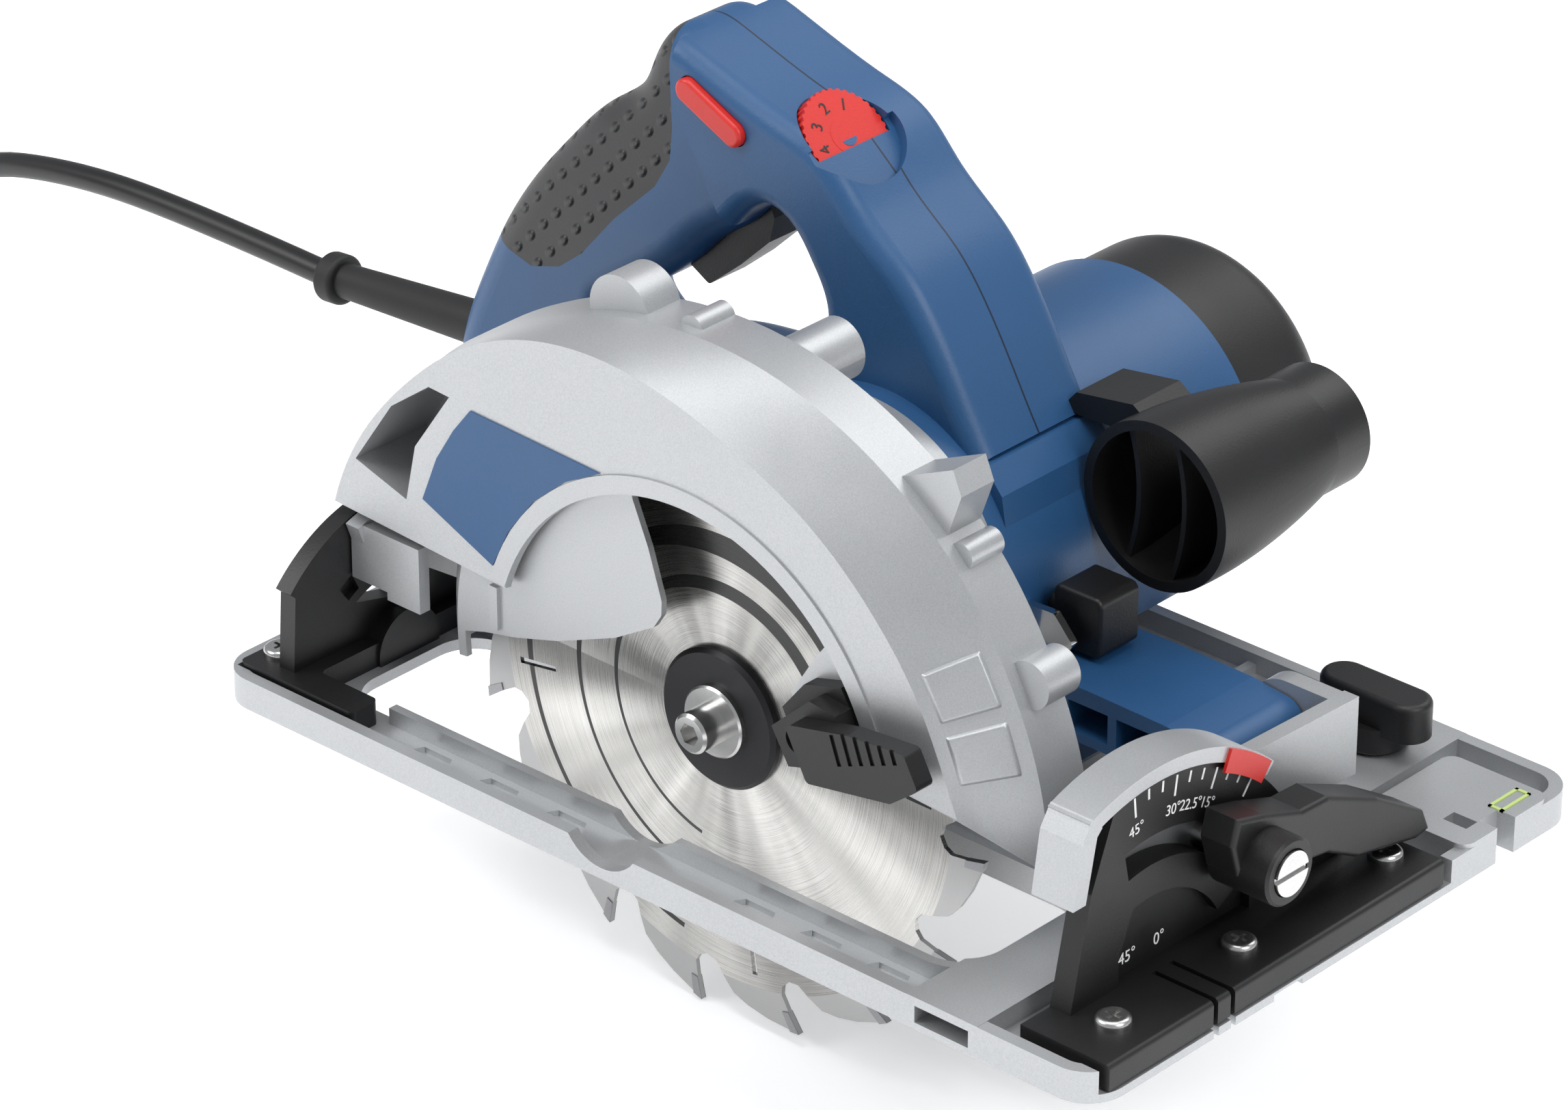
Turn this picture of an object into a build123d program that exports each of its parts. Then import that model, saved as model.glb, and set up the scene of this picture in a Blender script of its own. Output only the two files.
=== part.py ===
from build123d import *
import os
from math import cos, sin, radians, degrees, atan2, hypot, pi, tan, sqrt

# Hand-held circular saw for 190 mm blades, 65 mm deep cut.
# +X is the cutting direction, +Y the motor side, +Z up. The origin is in the
# middle of the base plate's underside. The saw stands at full depth, 0 bevel.

fit_gap = 0.03            # radial running fit of shafts and pins
skin_gap = 0.4            # room around a moving button or trigger

# ---------------------------------------------------------------- base plate
plate_length = 325.0
plate_width = 208.0
plate_corner = 12.0
deck = 3.5
rim_height = 9.6
rim_wall = 4.0
front_lip = 2.6           # the rim is this low in front of the front quadrant
window_rear = -132.0
window_front = 103.0
window_near = -84.0
window_far = -32.0
window_corner = 13.0
window_lip_wall = 3.0
window_lip_height = 8.6
rib_height = 6.6
scoop_radius = 15.0       # relief for the blade bolt when the saw is tilted
scoop_floor = 1.4
gearbox_relief = 24.0     # extra window width below the gearbox
rule_width = 18.0         # rule of a rip fence
rule_height = 4.6
rule_clear = 0.25
rule_floor = 2.0
rule_roof = 2.6
rule_x = 111.0            # middle of the fence channel
rail_width = 12.0         # guide rail groove under the sole
rail_depth = 1.8
rail_y = -24.0
fence_knob_y = 83.0
fence_screw_d = 6.0
fence_screw_shift = 4.0   # the clamp screw bears near the rear edge of the rule
knob_length = 36.0
knob_width = 14.0
knob_height = 18.5

# ------------------------------------------- quadrants that carry the tilt
quadrant_screw_places = [(149, -80), (149, -28.5), (149, 34), (-152.5, -88), (-152.5, 22)]
screw_core = 2.1
screw_head_d = 10.0
screw_head_h = 2.4
quadrant_block_top = 11.0
front_face = 139.0        # front face of the front quadrant
quadrant_r = 67.5
quadrant_t = 7.0
rear_quadrant_x = -147.0
rear_quadrant_t = 6.0
rear_quadrant_r = 54.0
slot_r = 47.0
slot_start = 51.5
bevel_travel = 45.0
bevel_bolt_d = 8.0
bolt_clear = 0.35
bracket_t = 5.0
bracket_gap = 0.6

# ------------------------------------------------------------ depth setting
pivot_x = 111.0
pivot_z = 38.0
pivot_pin_d = 8.0
pivot_tube_d = 15.5
tube_near = -1.0
tube_far = 36.0
ear_t = 6.0
ear_gap = 0.5
depth_travel = 30.0
strap_y = -33.0           # near face of the depth guide
strap_t = 3.0
strap_r = 185.0
strap_half = 9.0
strap_foot = (12.5, 29.0)  # lowest and highest edge of its foot
clamp_bolt_d = 6.0
clamp_angle = 183.0

# ---------------------------------------------------------- blade and spindle
blade_y = -54.0
arbor_x = -11.5
arbor_z = 30.0
blade_d = 190.0
kerf = 2.0
blade_body = 1.4
bore = 30.0
teeth = 16
first_tooth = -5.4
flange_d = 42.0
inner_flange_t = 5.0
clamp_flange_t = 3.0
flange_step = 2.0         # the clamp flange fits over the spindle end this far
washer_d = 21.5
washer_t = 2.0
bolt_head_d = 12.0
bolt_head_h = 9.0
bolt_d = 8.0
bolt_thread = 22.0
spindle_d = 15.0
spindle_end_d = 20.0
spindle_flats = 15.0
spindle_tail_d = 10.0
spindle_shoulder = -11.0
spindle_tail = -5.2

# ------------------------------------------------------------ motor and gears
gear_distance = 31.0
gear_angle = 80.0         # direction from the spindle to the rotor
gear_module = 1.0
pinion_teeth = 11
wheel_teeth = 51
gear_backlash = 0.16
gear_near = -24.0
gear_width = 9.0
motor_r = 50.0
motor_wall = 3.0
cap_r = 47.5
cap_round = 13.0
housing_front = -37.0     # gear housing face that carries the guard
gearcase_back = -11.0
housing_split = -2.0      # gear housing meets the motor housing
motor_end = 108.0         # motor housing meets the end cap
cap_end = 148.0
armature_d = 50.0
air_gap = 1.0
stator_d = 84.0
rotor_near = -34.0
rotor_far = 127.0
pinion_shaft_d = 5.2
bearing_shaft_d = 10.0
core_shaft_d = 12.0
tail_shaft_d = 8.0
spindle_bearing = (16.0, -46.0, -36.0)        # outer radius, near face, far face
spindle_tail_bearing = (9.5, -10.0, -5.0)
rotor_bearing = (13.0, -11.0, -3.0)
rotor_tail_bearing = (11.0, 116.0, 123.0)

# -------------------------------------------------------------- blade guards
guard_face = -71.0
guard_skin = 2.4
guard_back = 3.0
guard_wall = 3.2
guard_shoulder = -54.0
window_r = 70.7
hub_boss_r = 20.0
groove_r = 18.6           # groove of the retaining ring in the hub
lower_guard_r = 100.0
lower_guard_face_r = 91.0
lower_guard_y = (-66.5, -41.3)
lower_guard_sheet = 2.0
guard_lead = 186.0
guard_trail = 28.0
lower_ring_gap = 0.05
lever_screw_r = 52.0
lever_screw_angle = 23.0

# ------------------------------------------------------------------- handle
handle_y = 28.0
grip_half = 17.5
arm_half = 24.0
grip_round = 10.0
arm_round = 6.0
shell_wall = 6.0
cavity_half = 10.0
grip_skin = 2.2
trigger_half = 7.0
trigger_pivot = (-68.0, 141.0)
trigger_travel = 8.0
lock_from = (-78.0, 178.0)
lock_to = (-61.0, 170.0)
lock_half = 3.7
lock_travel = 3.0
lock_proud = 2.5
dial_d = 29.0
dial_t = 5.0
dial_at = (-35.0, 21.0, 171.5)
dial_slope = 32.0         # slope of the handle's top at the dial
dial_tilt = 13.0          # the dial dives this much more

# --------------------------------------------------------------- dust nozzle
nozzle_mouth = (65.0, 35.0, 87.0)
nozzle_mouth_r = 25.0
nozzle_end = (74.0, 95.0, 93.0)
nozzle_end_r = 18.0
nozzle_wall = 3.0
nozzle_neck = 14.0        # straight end that takes a hose

# -------------------------------------------------------------------- cable
cable_d = 8.0
boot_start = (-178.0, handle_y, 62.5)
boot_end = (-250.0, handle_y, 57.0)
boot_d = 14.0
coil_mid_d = 96.0
coil_columns = 4
coil_rows = 3
plug_length = 40.0
plug_width = 34.0
plug_height = 26.0
plug_tail = 18.0
pin_d = 4.8
pin_length = 19.0
pin_spacing = 19.0
floor_z = arbor_z - blade_d / 2
cord_route = [boot_end, (-306, 28, 58.5), (-364, 29, 55.5), (-418, 32, 42), (-454, 35, 8),
              (-482, 38, -27), (-518, 41, -50), (-556, 42.5, -59.8), (-596, 43, floor_z + cable_d / 2)]

rotor_x = arbor_x + gear_distance * cos(radians(gear_angle))
rotor_z = arbor_z + gear_distance * sin(radians(gear_angle))
blade_near = blade_y - blade_body / 2
blade_far = blade_y + blade_body / 2
clamp_near = blade_near - clamp_flange_t
bolt_seat = clamp_near - washer_t
spindle_near = blade_near - clamp_flange_t + 1.0
tilt_y = blade_y
bevel_y = tilt_y + slot_r * cos(radians(slot_start))
bevel_z = slot_r * sin(radians(slot_start))
channel_half = rule_width / 2 + rule_clear
channel_top = rule_floor + rule_height + 2 * rule_clear
bridge_top = channel_top + rule_roof
fence_x = rule_x - fence_screw_shift
quadrant_back = front_face - quadrant_t
bracket_face = quadrant_back - bracket_gap
rear_bracket_x = rear_quadrant_x + rear_quadrant_t + bracket_gap
clamp_x = pivot_x + strap_r * cos(radians(clamp_angle))
clamp_z = pivot_z + strap_r * sin(radians(clamp_angle))
os.makedirs("parts", exist_ok=True)
parts = {}


def keep(name, shape):
    parts[name] = shape


def slab_x(face, x0, x1):
    return extrude(Plane((x0, 0, 0), x_dir=(0, 1, 0), z_dir=(1, 0, 0)) * face, amount=x1 - x0)


def slab_y(face, y0, y1):
    return extrude(Plane((0, y1, 0), x_dir=(1, 0, 0), z_dir=(0, -1, 0)) * face, amount=y1 - y0)


def slab_z(face, z0, z1):
    return extrude(Plane((0, 0, z0)) * face, amount=z1 - z0)


def rod_x(y, z, r, x0, x1):
    return slab_x(Pos(y, z) * Circle(r), x0, x1)


def rod_y(x, z, r, y0, y1):
    return slab_y(Pos(x, z) * Circle(r), y0, y1)


def rod_z(x, y, r, z0, z1):
    return slab_z(Pos(x, y) * Circle(r), z0, z1)


def block(x0, x1, y0, y1, z0, z1):
    return Pos((x0 + x1) / 2, (y0 + y1) / 2, (z0 + z1) / 2) * Box(x1 - x0, y1 - y0, z1 - z0)


def around(r, angle, cx=arbor_x, cz=arbor_z):
    return (cx + r * cos(radians(angle)), cz + r * sin(radians(angle)))


def ring_sector(r_in, r_out, a0, a1, cx, cz):
    outer = CenterArc((cx, cz), r_out, a0, a1 - a0)
    inner = CenterArc((cx, cz), r_in, a0, a1 - a0)
    return make_face([outer, Line(outer @ 1, inner @ 1), inner, Line(inner @ 0, outer @ 0)])


def polygon(points):
    return make_face(Polyline(*points, close=True))


def smooth_outline(curve_points, straight_points):
    curve = Spline(*curve_points)
    return make_face([curve, Polyline(curve_points[-1], *straight_points, curve_points[0])])


def group(solids):
    return Compound(children=list(solids))


def cut_by(shape, *others):
    for other in others:
        shape = shape - other
    return shape


# ================================================================ base plate
def rule_channel():
    """Room for the rip fence's rule, open at both long edges of the plate."""
    return block(rule_x - channel_half, rule_x + channel_half, -plate_width, plate_width, rule_floor, channel_top)


def base_plate():
    half_l = plate_length / 2
    half_w = plate_width / 2
    inside_y = half_w - rim_wall
    body = slab_z(RectangleRounded(plate_length, plate_width, plate_corner), 0, rim_height)
    inner = RectangleRounded(plate_length - 2 * rim_wall, plate_width - 2 * rim_wall, plate_corner - rim_wall)
    body -= slab_z(inner, deck, rim_height + 1)
    # bridge over the fence channel, full width behind the front quadrant
    body += block(rule_x - channel_half - 3, rule_x + channel_half + 3, -half_w, half_w, 0, bridge_top)
    # raised pad in the front corner of the motor side
    pad = block(128, half_l, 52, half_w - 14, 0, rim_height + 1.5)
    body += fillet(pad.edges().filter_by(Axis.Z), 4)
    # ribs along and across the motor side
    far_edge = window_far + gearbox_relief
    for rib_x in (-120, -78, 50, 78):
        body += block(rib_x - 1.5, rib_x + 1.5, far_edge + 4, half_w - 1, 0, rib_height)
    for rib_y in (8, 62):
        body += block(-half_l + 16, rule_x - 8, rib_y - 1.5, rib_y + 1.5, 0, rib_height)
    # lip around the window
    win_l = window_front - window_rear
    win_w = window_far - window_near
    win_c = Pos((window_front + window_rear) / 2, (window_far + window_near) / 2)
    lip = RectangleRounded(win_l + 2 * window_lip_wall, win_w + 2 * window_lip_wall, window_corner + window_lip_wall)
    body += slab_z(win_c * lip, 0, window_lip_height)
    relief_l = 2 * (gear_module * (wheel_teeth + 2) / 2 + 8)
    relief = Pos(arbor_x + 3, window_far) * RectangleRounded(relief_l, 2 * gearbox_relief, 8)
    body -= slab_z(win_c * RectangleRounded(win_l, win_w, window_corner), -1, rim_height + 5)
    body -= slab_z(relief, -1, rim_height + 5)
    # seats of the quadrants: the deck is flat and the rim low in front of them
    body -= block(quadrant_back - 0.6, half_l + 1, -inside_y + 1, 46, deck, rim_height + 10)
    body -= block(half_l - rim_wall - 1, half_l + 1, -inside_y + 1, 46, front_lip, rim_height + 10)
    body -= block(-half_l + rim_wall, -110, -inside_y + 0.5, 32, deck, rim_height + 10)
    # trapezoid pockets in the near strip
    strip_mid = (-inside_y + window_near - window_lip_wall) / 2
    for pocket_x in (-88, -62, -36, 34, 58, 82):
        body -= slab_z(Pos(pocket_x, strip_mid) * Trapezoid(20, 8, 60), deck / 2, rim_height + 5)
    # scoop for the blade bolt
    body -= rod_y(arbor_x, scoop_floor + scoop_radius + 2, scoop_radius, -half_w - 1, window_near + 1)
    body -= rule_channel()
    # groove for a guide rail, in the sole
    body -= block(-half_l - 1, half_l + 1, rail_y - rail_width / 2, rail_y + rail_width / 2, -1, rail_depth)
    # slot and small window in the front corner
    body -= block(half_l - 14, half_l - 6, 60, 65, -1, rim_height + 5)
    body -= block(half_l - 6, half_l + 1, 66, 74, -1, rim_height + 5)
    # sight notches for 0 and 45 degrees in the front edge
    for notch_y in (tilt_y, tilt_y + 7):
        body -= block(half_l - 4, half_l + 1, notch_y - 1, notch_y + 1, -1, deck + 4)
    for x, y in quadrant_screw_places:
        body -= rod_z(x, y, screw_core, -1, rim_height + 5)
    return body - rod_z(fence_x, fence_knob_y, fence_screw_d / 2 + fit_gap, deck, rim_height + 20)


def pan_screw(x, y, z):
    """Cross-head screw with a domed head, its head standing on height z."""
    head = rod_z(x, y, screw_head_d / 2, z, z + screw_head_h)
    head = fillet(head.edges().group_by(Axis.Z)[-1], 1.6)
    shank = rod_z(x, y, screw_core, z - quadrant_block_top + 1.2, z)
    cross = Pos(x, y, z + screw_head_h - 0.5) * (Box(5, 1.1, 2.4) + Box(1.1, 5, 2.4))
    return head + shank - cross


def tilt_slot():
    half = bevel_bolt_d / 2 + bolt_clear
    spare = degrees(half / slot_r) + 0.3
    return ring_sector(slot_r - half, slot_r + half, slot_start - spare, slot_start + bevel_travel + spare, tilt_y, 0)


def front_quadrant():
    x0 = quadrant_back
    plate = slab_x(ring_sector(33, quadrant_r, 30, 104, tilt_y, 0), x0, front_face)
    web = polygon([(-86, 8), (-66, 8), (-66, 20), (-60, 34), (-61, 58), (-70, 64), (-78, 44)])
    plate += slab_x(web, x0, front_face)
    plate += slab_x(polygon([(-66, 8), (20, 8), (20, 22), (-22, 30), (-60, 34)]), x0, front_face - 3)
    plate += slab_x(polygon([(-12, 8), (30, 8), (22, 26), (6, 33), (-12, 30)]), x0, front_face)
    base = block(x0, plate_length / 2 - 0.4, -97.0, 43.0, deck, quadrant_block_top)
    plate += fillet(base.edges().group_by(Axis.Z)[-1].sort_by(Axis.X)[-1:], 1.5)
    plate -= slab_x(tilt_slot(), x0 - 1, front_face + 1)
    for y in (tilt_y, tilt_y + 7):
        plate -= block(front_face + 2, plate_length / 2 + 1, y - 0.9, y + 0.9, quadrant_block_top - 1.2, 20)
        plate -= block(plate_length / 2 - 3, plate_length / 2 + 1, y - 0.9, y + 0.9, 0, 20)
    for x, y in quadrant_screw_places[:3]:
        plate -= rod_z(x, y, screw_core, 0, 30)
    return plate


def rear_quadrant():
    x0 = rear_quadrant_x
    x1 = x0 + rear_quadrant_t
    body = slab_x(ring_sector(28, rear_quadrant_r, 24, 138, tilt_y, 0), x0, x1)
    body += slab_x(polygon([(-94, 8), (26, 8), (12, 30), (-22, 34), (-54, 20), (-78, 26), (-92, 38)]), x0, x1)
    base = block(x0 - 11, -112.5, -99.0, -88.5, deck, quadrant_block_top)
    base += block(x0 - 11, -136.0, -99.0, 30.0, deck, quadrant_block_top)
    body += fillet(base.edges().filter_by(Axis.Z), 2.0)
    # rounded ridge that carries the arc
    body += rod_x(tilt_y, 6, 12, x0, x1 + 6) & block(x0, x1 + 6, -90, 20, deck, 30)
    body -= slab_x(tilt_slot(), x0 - 1, x1 + 1)
    # lightening pockets in two rings
    for k in range(6):
        inner = ring_sector(31, 37, 46 + 14 * k, 55 + 14 * k, tilt_y, 0)
        body -= slab_x(inner, x1 - 2.5, x1 + 1)
    for x, y in quadrant_screw_places[3:]:
        body -= rod_z(x, y, screw_core, 0, 30)
    return body


def fence_parts():
    """Clamp screw of the rip fence and its wing knob."""
    x, y = fence_x, fence_knob_y
    foot_top = bridge_top + 9
    screw = rod_z(x, y, fence_screw_d / 2, channel_top - 0.5, foot_top)
    foot = rod_z(x, y, 10, bridge_top + 0.8, foot_top)
    foot = fillet(foot.edges().group_by(Axis.Z)[0], 1.0)
    wing = slab_z(Pos(x, y) * SlotOverall(knob_length, knob_width), foot_top - 2, bridge_top + knob_height)
    wing = fillet(wing.edges().group_by(Axis.Z)[-1], 2.0)
    knob = foot + wing - rod_z(x, y, fence_screw_d / 2, 0, foot_top)
    return screw, knob


# ============================================================== tilting frame
def front_bracket():
    x1 = bracket_face
    x0 = x1 - bracket_t
    near = tube_near - ear_gap
    far = tube_far + ear_gap
    hood_x = front_face + 1.5
    r_hood = quadrant_r + 0.6
    r_out = r_hood + 4.4
    body = slab_x(ring_sector(r_hood, r_out, 48, 112, tilt_y, 0), x0, hood_x)
    # leg on the blade side, bent over the quadrant
    body += slab_x(polygon([(-87, 43.5), (-82, 43.5), (-78, 62), (-84, 62)]), x0, hood_x)
    body += slab_x(polygon([(-84, 62), (-78, 62), (-76, 64), (-80, 68)]), x0, hood_x)
    back = slab_x(ring_sector(34, r_out, 32, 112, tilt_y, 0), x0, x1)
    back += slab_x(polygon([(-87, 43.5), (-66, 43.5), (-60, 60), (-79, 68), (-84, 62)]), x0, x1)
    web = slab_x(polygon([(-30, 30), (far + ear_t, 26), (far + ear_t, 50), (-8, 52)]), x0, x1)
    body += back + web
    body -= rod_x(bevel_y, bevel_z, bevel_bolt_d / 2, x0 - 1, x1 + 1)
    for y0, y1 in ((near - ear_t, near), (far, far + ear_t)):
        ear = slab_y(Pos(pivot_x, pivot_z) * Circle(11.5), y0, y1)
        body += ear + block(pivot_x, x1, y0, y1, pivot_z - 11.5, pivot_z + 11.5)
    return body - rod_y(pivot_x, pivot_z, pivot_pin_d / 2, -100, 100)


def bevel_pointer():
    return slab_x(ring_sector(quadrant_r - 2, quadrant_r + 4.6, 50, 66, tilt_y, 0), front_face + 1.5, front_face + 2.5)


def rear_bracket():
    x0 = rear_bracket_x
    x1 = x0 + bracket_t
    plate = slab_x(ring_sector(30, rear_quadrant_r, 40, 110, tilt_y, 0), x0, x1)
    plate += slab_x(polygon([(-50, 31), (-34, 20), (-12, 15), (-8, 15), (-8, 40), (-24, 46), (-44, 48)]), x0, x1)
    # bent strip that stiffens it towards the blade guard
    plate += block(x0, x0 + 27, -70.5, -66.5, 33, 51)
    plate += block(x0 + 14, x0 + 27, -70.5, -66.5, 30.5, 34)
    plate += slab_x(polygon([(-70.5, 33), (-60, 33), (-60, 52), (-70.5, 51)]), x0, x1)
    plate += block(x0, x0 + 20, -66.6, -44, 48, 51)
    plate -= rod_x(bevel_y, bevel_z, bevel_bolt_d / 2, x0 - 1, x1 + 1)
    for y, z in rivet_places():
        plate -= rod_x(y, z, 2.0, x0 - 1, x1 + 1)
    return plate


def rivet_places():
    z = strap_foot[0] + 11.0
    return ((strap_y + 4.5, z), (strap_y + 12.5, z))


def depth_guide():
    """Slotted strap along which the saw is clamped at its depth, with a foot riveted to the rear bracket."""
    low, high = strap_foot
    x1 = rear_bracket_x + bracket_t
    half_slot = clamp_bolt_d / 2 + fit_gap * 10
    spare = degrees(half_slot / strap_r)
    lowest = clamp_angle - depth_travel
    strap = ring_sector(strap_r - strap_half, strap_r + strap_half, lowest - 3.0, clamp_angle + 3.0, pivot_x, pivot_z)
    body = slab_y(strap, strap_y, strap_y + strap_t)
    body += block(x1, clamp_x - strap_half + 3, strap_y, strap_y + strap_t, low, high)
    body += block(x1, x1 + strap_t, strap_y, strap_y + 16, low + 6.0, low + 15.5)
    slot = ring_sector(strap_r - half_slot, strap_r + half_slot, lowest - spare, clamp_angle + spare, pivot_x, pivot_z)
    body -= slab_y(slot, strap_y - 1, strap_y + strap_t + 1)
    for y, z in rivet_places():
        body += rod_x(y, z, 2.0, x1 - bracket_t, x1)
        body += rod_x(y, z, 3.2, x1 + strap_t, x1 + strap_t + 1.4)
    return body


def depth_pivot_pin():
    near = tube_near - ear_gap - ear_t
    far = tube_far + ear_gap + ear_t
    pin = rod_y(pivot_x, pivot_z, pivot_pin_d / 2, near, far)
    pin += rod_y(pivot_x, pivot_z, 6.0, near - 2.6, near)
    return pin + rod_y(pivot_x, pivot_z, 5.6, far, far + 1.4)


def lever_front():
    return front_face + 24.0


def bevel_bolt():
    """Bolt of the front tilt lock with a slotted head in the lever's hub."""
    front = lever_front()
    head = rod_x(bevel_y, bevel_z, 6.5, front - 2.6, front)
    head -= block(front - 1.0, front + 1, bevel_y - 7, bevel_y + 7, bevel_z - 0.8, bevel_z + 0.8)
    shank = rod_x(bevel_y, bevel_z, bevel_bolt_d / 2, bracket_face - bracket_t, front - 2.6)
    plate = slab_x(Pos(bevel_y, bevel_z) * RegularPolygon(7.0, 6), bracket_face - bracket_t - 4, bracket_face - bracket_t)
    return head + shank + plate


def bevel_lever():
    x0 = front_face + 3.2
    x1 = lever_front()
    y, z = bevel_y, bevel_z
    hub = rod_x(y, z, 9.8, x0, x1 - 0.8)
    hub = chamfer(hub.edges().group_by(Axis.X)[-1], 0.8)
    arm = polygon([(y - 11, z + 16.8), (y, z + 13.8), (y + 16, z + 8.2), (y + 27, z + 7.7), (y + 49, z - 2.1),
                   (y + 70, z - 15.0), (y + 73, z - 21.8), (y + 67, z - 22.7), (y + 41, z - 17.1),
                   (y + 28, z - 10.1), (y + 13, z - 7.8), (y - 1, z - 9.8), (y - 10, z - 0.8), (y - 13, z + 9.2)])
    arm = slab_x(arm, x0, x0 + 11.0)
    arm = fillet(arm.edges().group_by(Axis.X)[-1], 1.5)
    body = hub + arm
    body -= rod_x(y, z, bevel_bolt_d / 2 + fit_gap, x0 - 1, x1 + 1)
    return body - rod_x(y, z, 6.5 + skin_gap, x1 - 2.6 - fit_gap, x1 + 1)


def rear_bevel_bolt():
    """Hexagon bolt of the rear tilt slot, its nut behind the quadrant."""
    hexagon = Pos(bevel_y, bevel_z) * RegularPolygon(7.2, 6)
    x1 = rear_bracket_x + bracket_t
    back = rear_quadrant_x - 0.4
    bolt = rod_x(bevel_y, bevel_z, bevel_bolt_d / 2, back, x1)
    return bolt + slab_x(hexagon, x1, x1 + 5.5) + slab_x(hexagon, back - 6.5, back)


# ================================================================ blade guards
far_outline = [(-2, 115.5), (8, 115), (18, 113.5), (28, 112.2), (42, 111.5), (60, 110.5), (80, 111.0),
               (98, 113), (116, 117), (128, 121), (138, 126), (147, 130.5), (158, 134.5), (169.0, 138)]
near_outline = [(7.5, 99.5), (12, 97.5), (20, 95.6), (28, 94.6), (42, 93.2), (60, 93.5), (76, 95.5),
                (90, 100.5), (104, 108), (118, 115.8), (130, 121.5), (146, 127.5), (158, 133), (169.3, 137.0)]


def guard_outline(table, inset, drop):
    """Face of one guard outline, pulled in by inset and lowered by drop below its straight lower edge."""
    points = [around(r - inset, a) for a, r in table]
    (x_front, z_front), (x_rear, z_rear) = points[0], points[-1]
    low = [(x_rear, z_rear - drop), (x_front, z_front - drop)] if drop > 0 else []
    return smooth_outline(points, low)


def guard_loft(inset, y_near, y_shoulder, y_back, drop):
    def at(face, y):
        return Plane((0, y, 0), x_dir=(1, 0, 0), z_dir=(0, -1, 0)) * face
    near = at(guard_outline(near_outline, inset, drop), y_near)
    far = at(guard_outline(far_outline, inset, drop), y_shoulder)
    return loft([near, far]) + slab_y(guard_outline(far_outline, inset, drop), y_shoulder, y_back)


def guard_bosses():
    """Bosses along the top edge: x, z, radius, and the far end of each."""
    bosses = rod_y(-54, 137, 11, -50, housing_front)
    for x, z, r, y_end in ((-27, 141, 4, housing_front), (-4, 131, 9, -16.0), (69, 106.5, 4, housing_front),
                           (93, 77, 7, housing_front)):
        bosses += rod_y(x, z, r, -50, y_end)
    wedge = polygon([(46, 122), (66, 131), (69, 124), (64, 110), (50, 108)])
    return bosses + slab_y(wedge, -50, housing_front)


def upper_guard():
    back = housing_front - guard_back
    shell = guard_loft(0, guard_face, guard_shoulder, housing_front, 0)
    cavity = guard_loft(guard_wall, guard_face + guard_skin, guard_shoulder, back, 40)
    limit = rod_y(arbor_x, arbor_z, 107.0, guard_face, housing_front)
    cavity = cavity & limit
    shell -= cavity
    # deep pocket in the rear end, open to the blade side
    pocket = polygon([(-137, 72), (-122, 93.5), (-107, 104.5), (-99, 104), (-113, 84), (-117, 66)])
    shell -= slab_y(pocket, guard_face - 1, housing_front - 6)
    # window that shows the blade and its flange, with a raised rim
    rim = ring_sector(window_r, window_r + 5.5, 12, 161.5, arbor_x, arbor_z)
    shell += slab_y(rim, guard_face - 0.6, guard_face + 1)
    shell -= rod_y(arbor_x, arbor_z, window_r, guard_face - 2, guard_face + guard_skin + 1)
    # back wall down to the hub
    shell += rod_y(arbor_x, arbor_z, 28.5, back, housing_front)
    shell += block(arbor_x - 28.5, arbor_x + 28.5, back, housing_front, arbor_z, 60)
    shell += guard_bosses() - cavity
    # lug of the depth clamp
    shell += block(clamp_x - 10, clamp_x + 10, back, housing_front, clamp_z - 9, 60)
    shell -= rod_y(clamp_x, clamp_z, clamp_bolt_d / 2, back - 1, housing_front + 1)
    shell -= rod_y(arbor_x, arbor_z, hub_boss_r, back - 1, housing_front + 1)
    # chip outlet through the back wall, near the top at the front
    outlet = ring_sector(74, 98, 36, 62, arbor_x, arbor_z)
    return shell - slab_y(outlet, back - 1, housing_front + 1)


def label_panel():
    outer = [around(r, a) for r, a in ((106, 158.5), (107, 150), (107.3, 143), (107.5, 137.4))]
    inner = [around(window_r + 6.0, a) for a in (113, 124, 136, 148, 159)]
    return slab_y(polygon(outer + inner), guard_face - 0.5, guard_face)


def guard_rim():
    """Curved rim of the lower guard with its bevelled near corner."""
    near, far = lower_guard_y
    sheet = lower_guard_sheet
    bend = near + 8.5
    r, r_face = lower_guard_r, lower_guard_face_r
    profile = Polyline((r_face, near), (r, bend), (r, far), (r - sheet, far), (r - sheet, bend + 0.8),
                       (r_face - 0.9, near + sheet), (r_face - 3, near + sheet), (r_face - 3, near), close=True)
    angle = radians(guard_trail)
    plane = Plane((arbor_x, 0, arbor_z), x_dir=(cos(angle), 0, sin(angle)), z_dir=(-sin(angle), 0, cos(angle)))
    axis = Axis((arbor_x, 0, arbor_z), (0, -1, 0))
    return revolve(plane * make_face(profile), axis, guard_lead - guard_trail)


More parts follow.
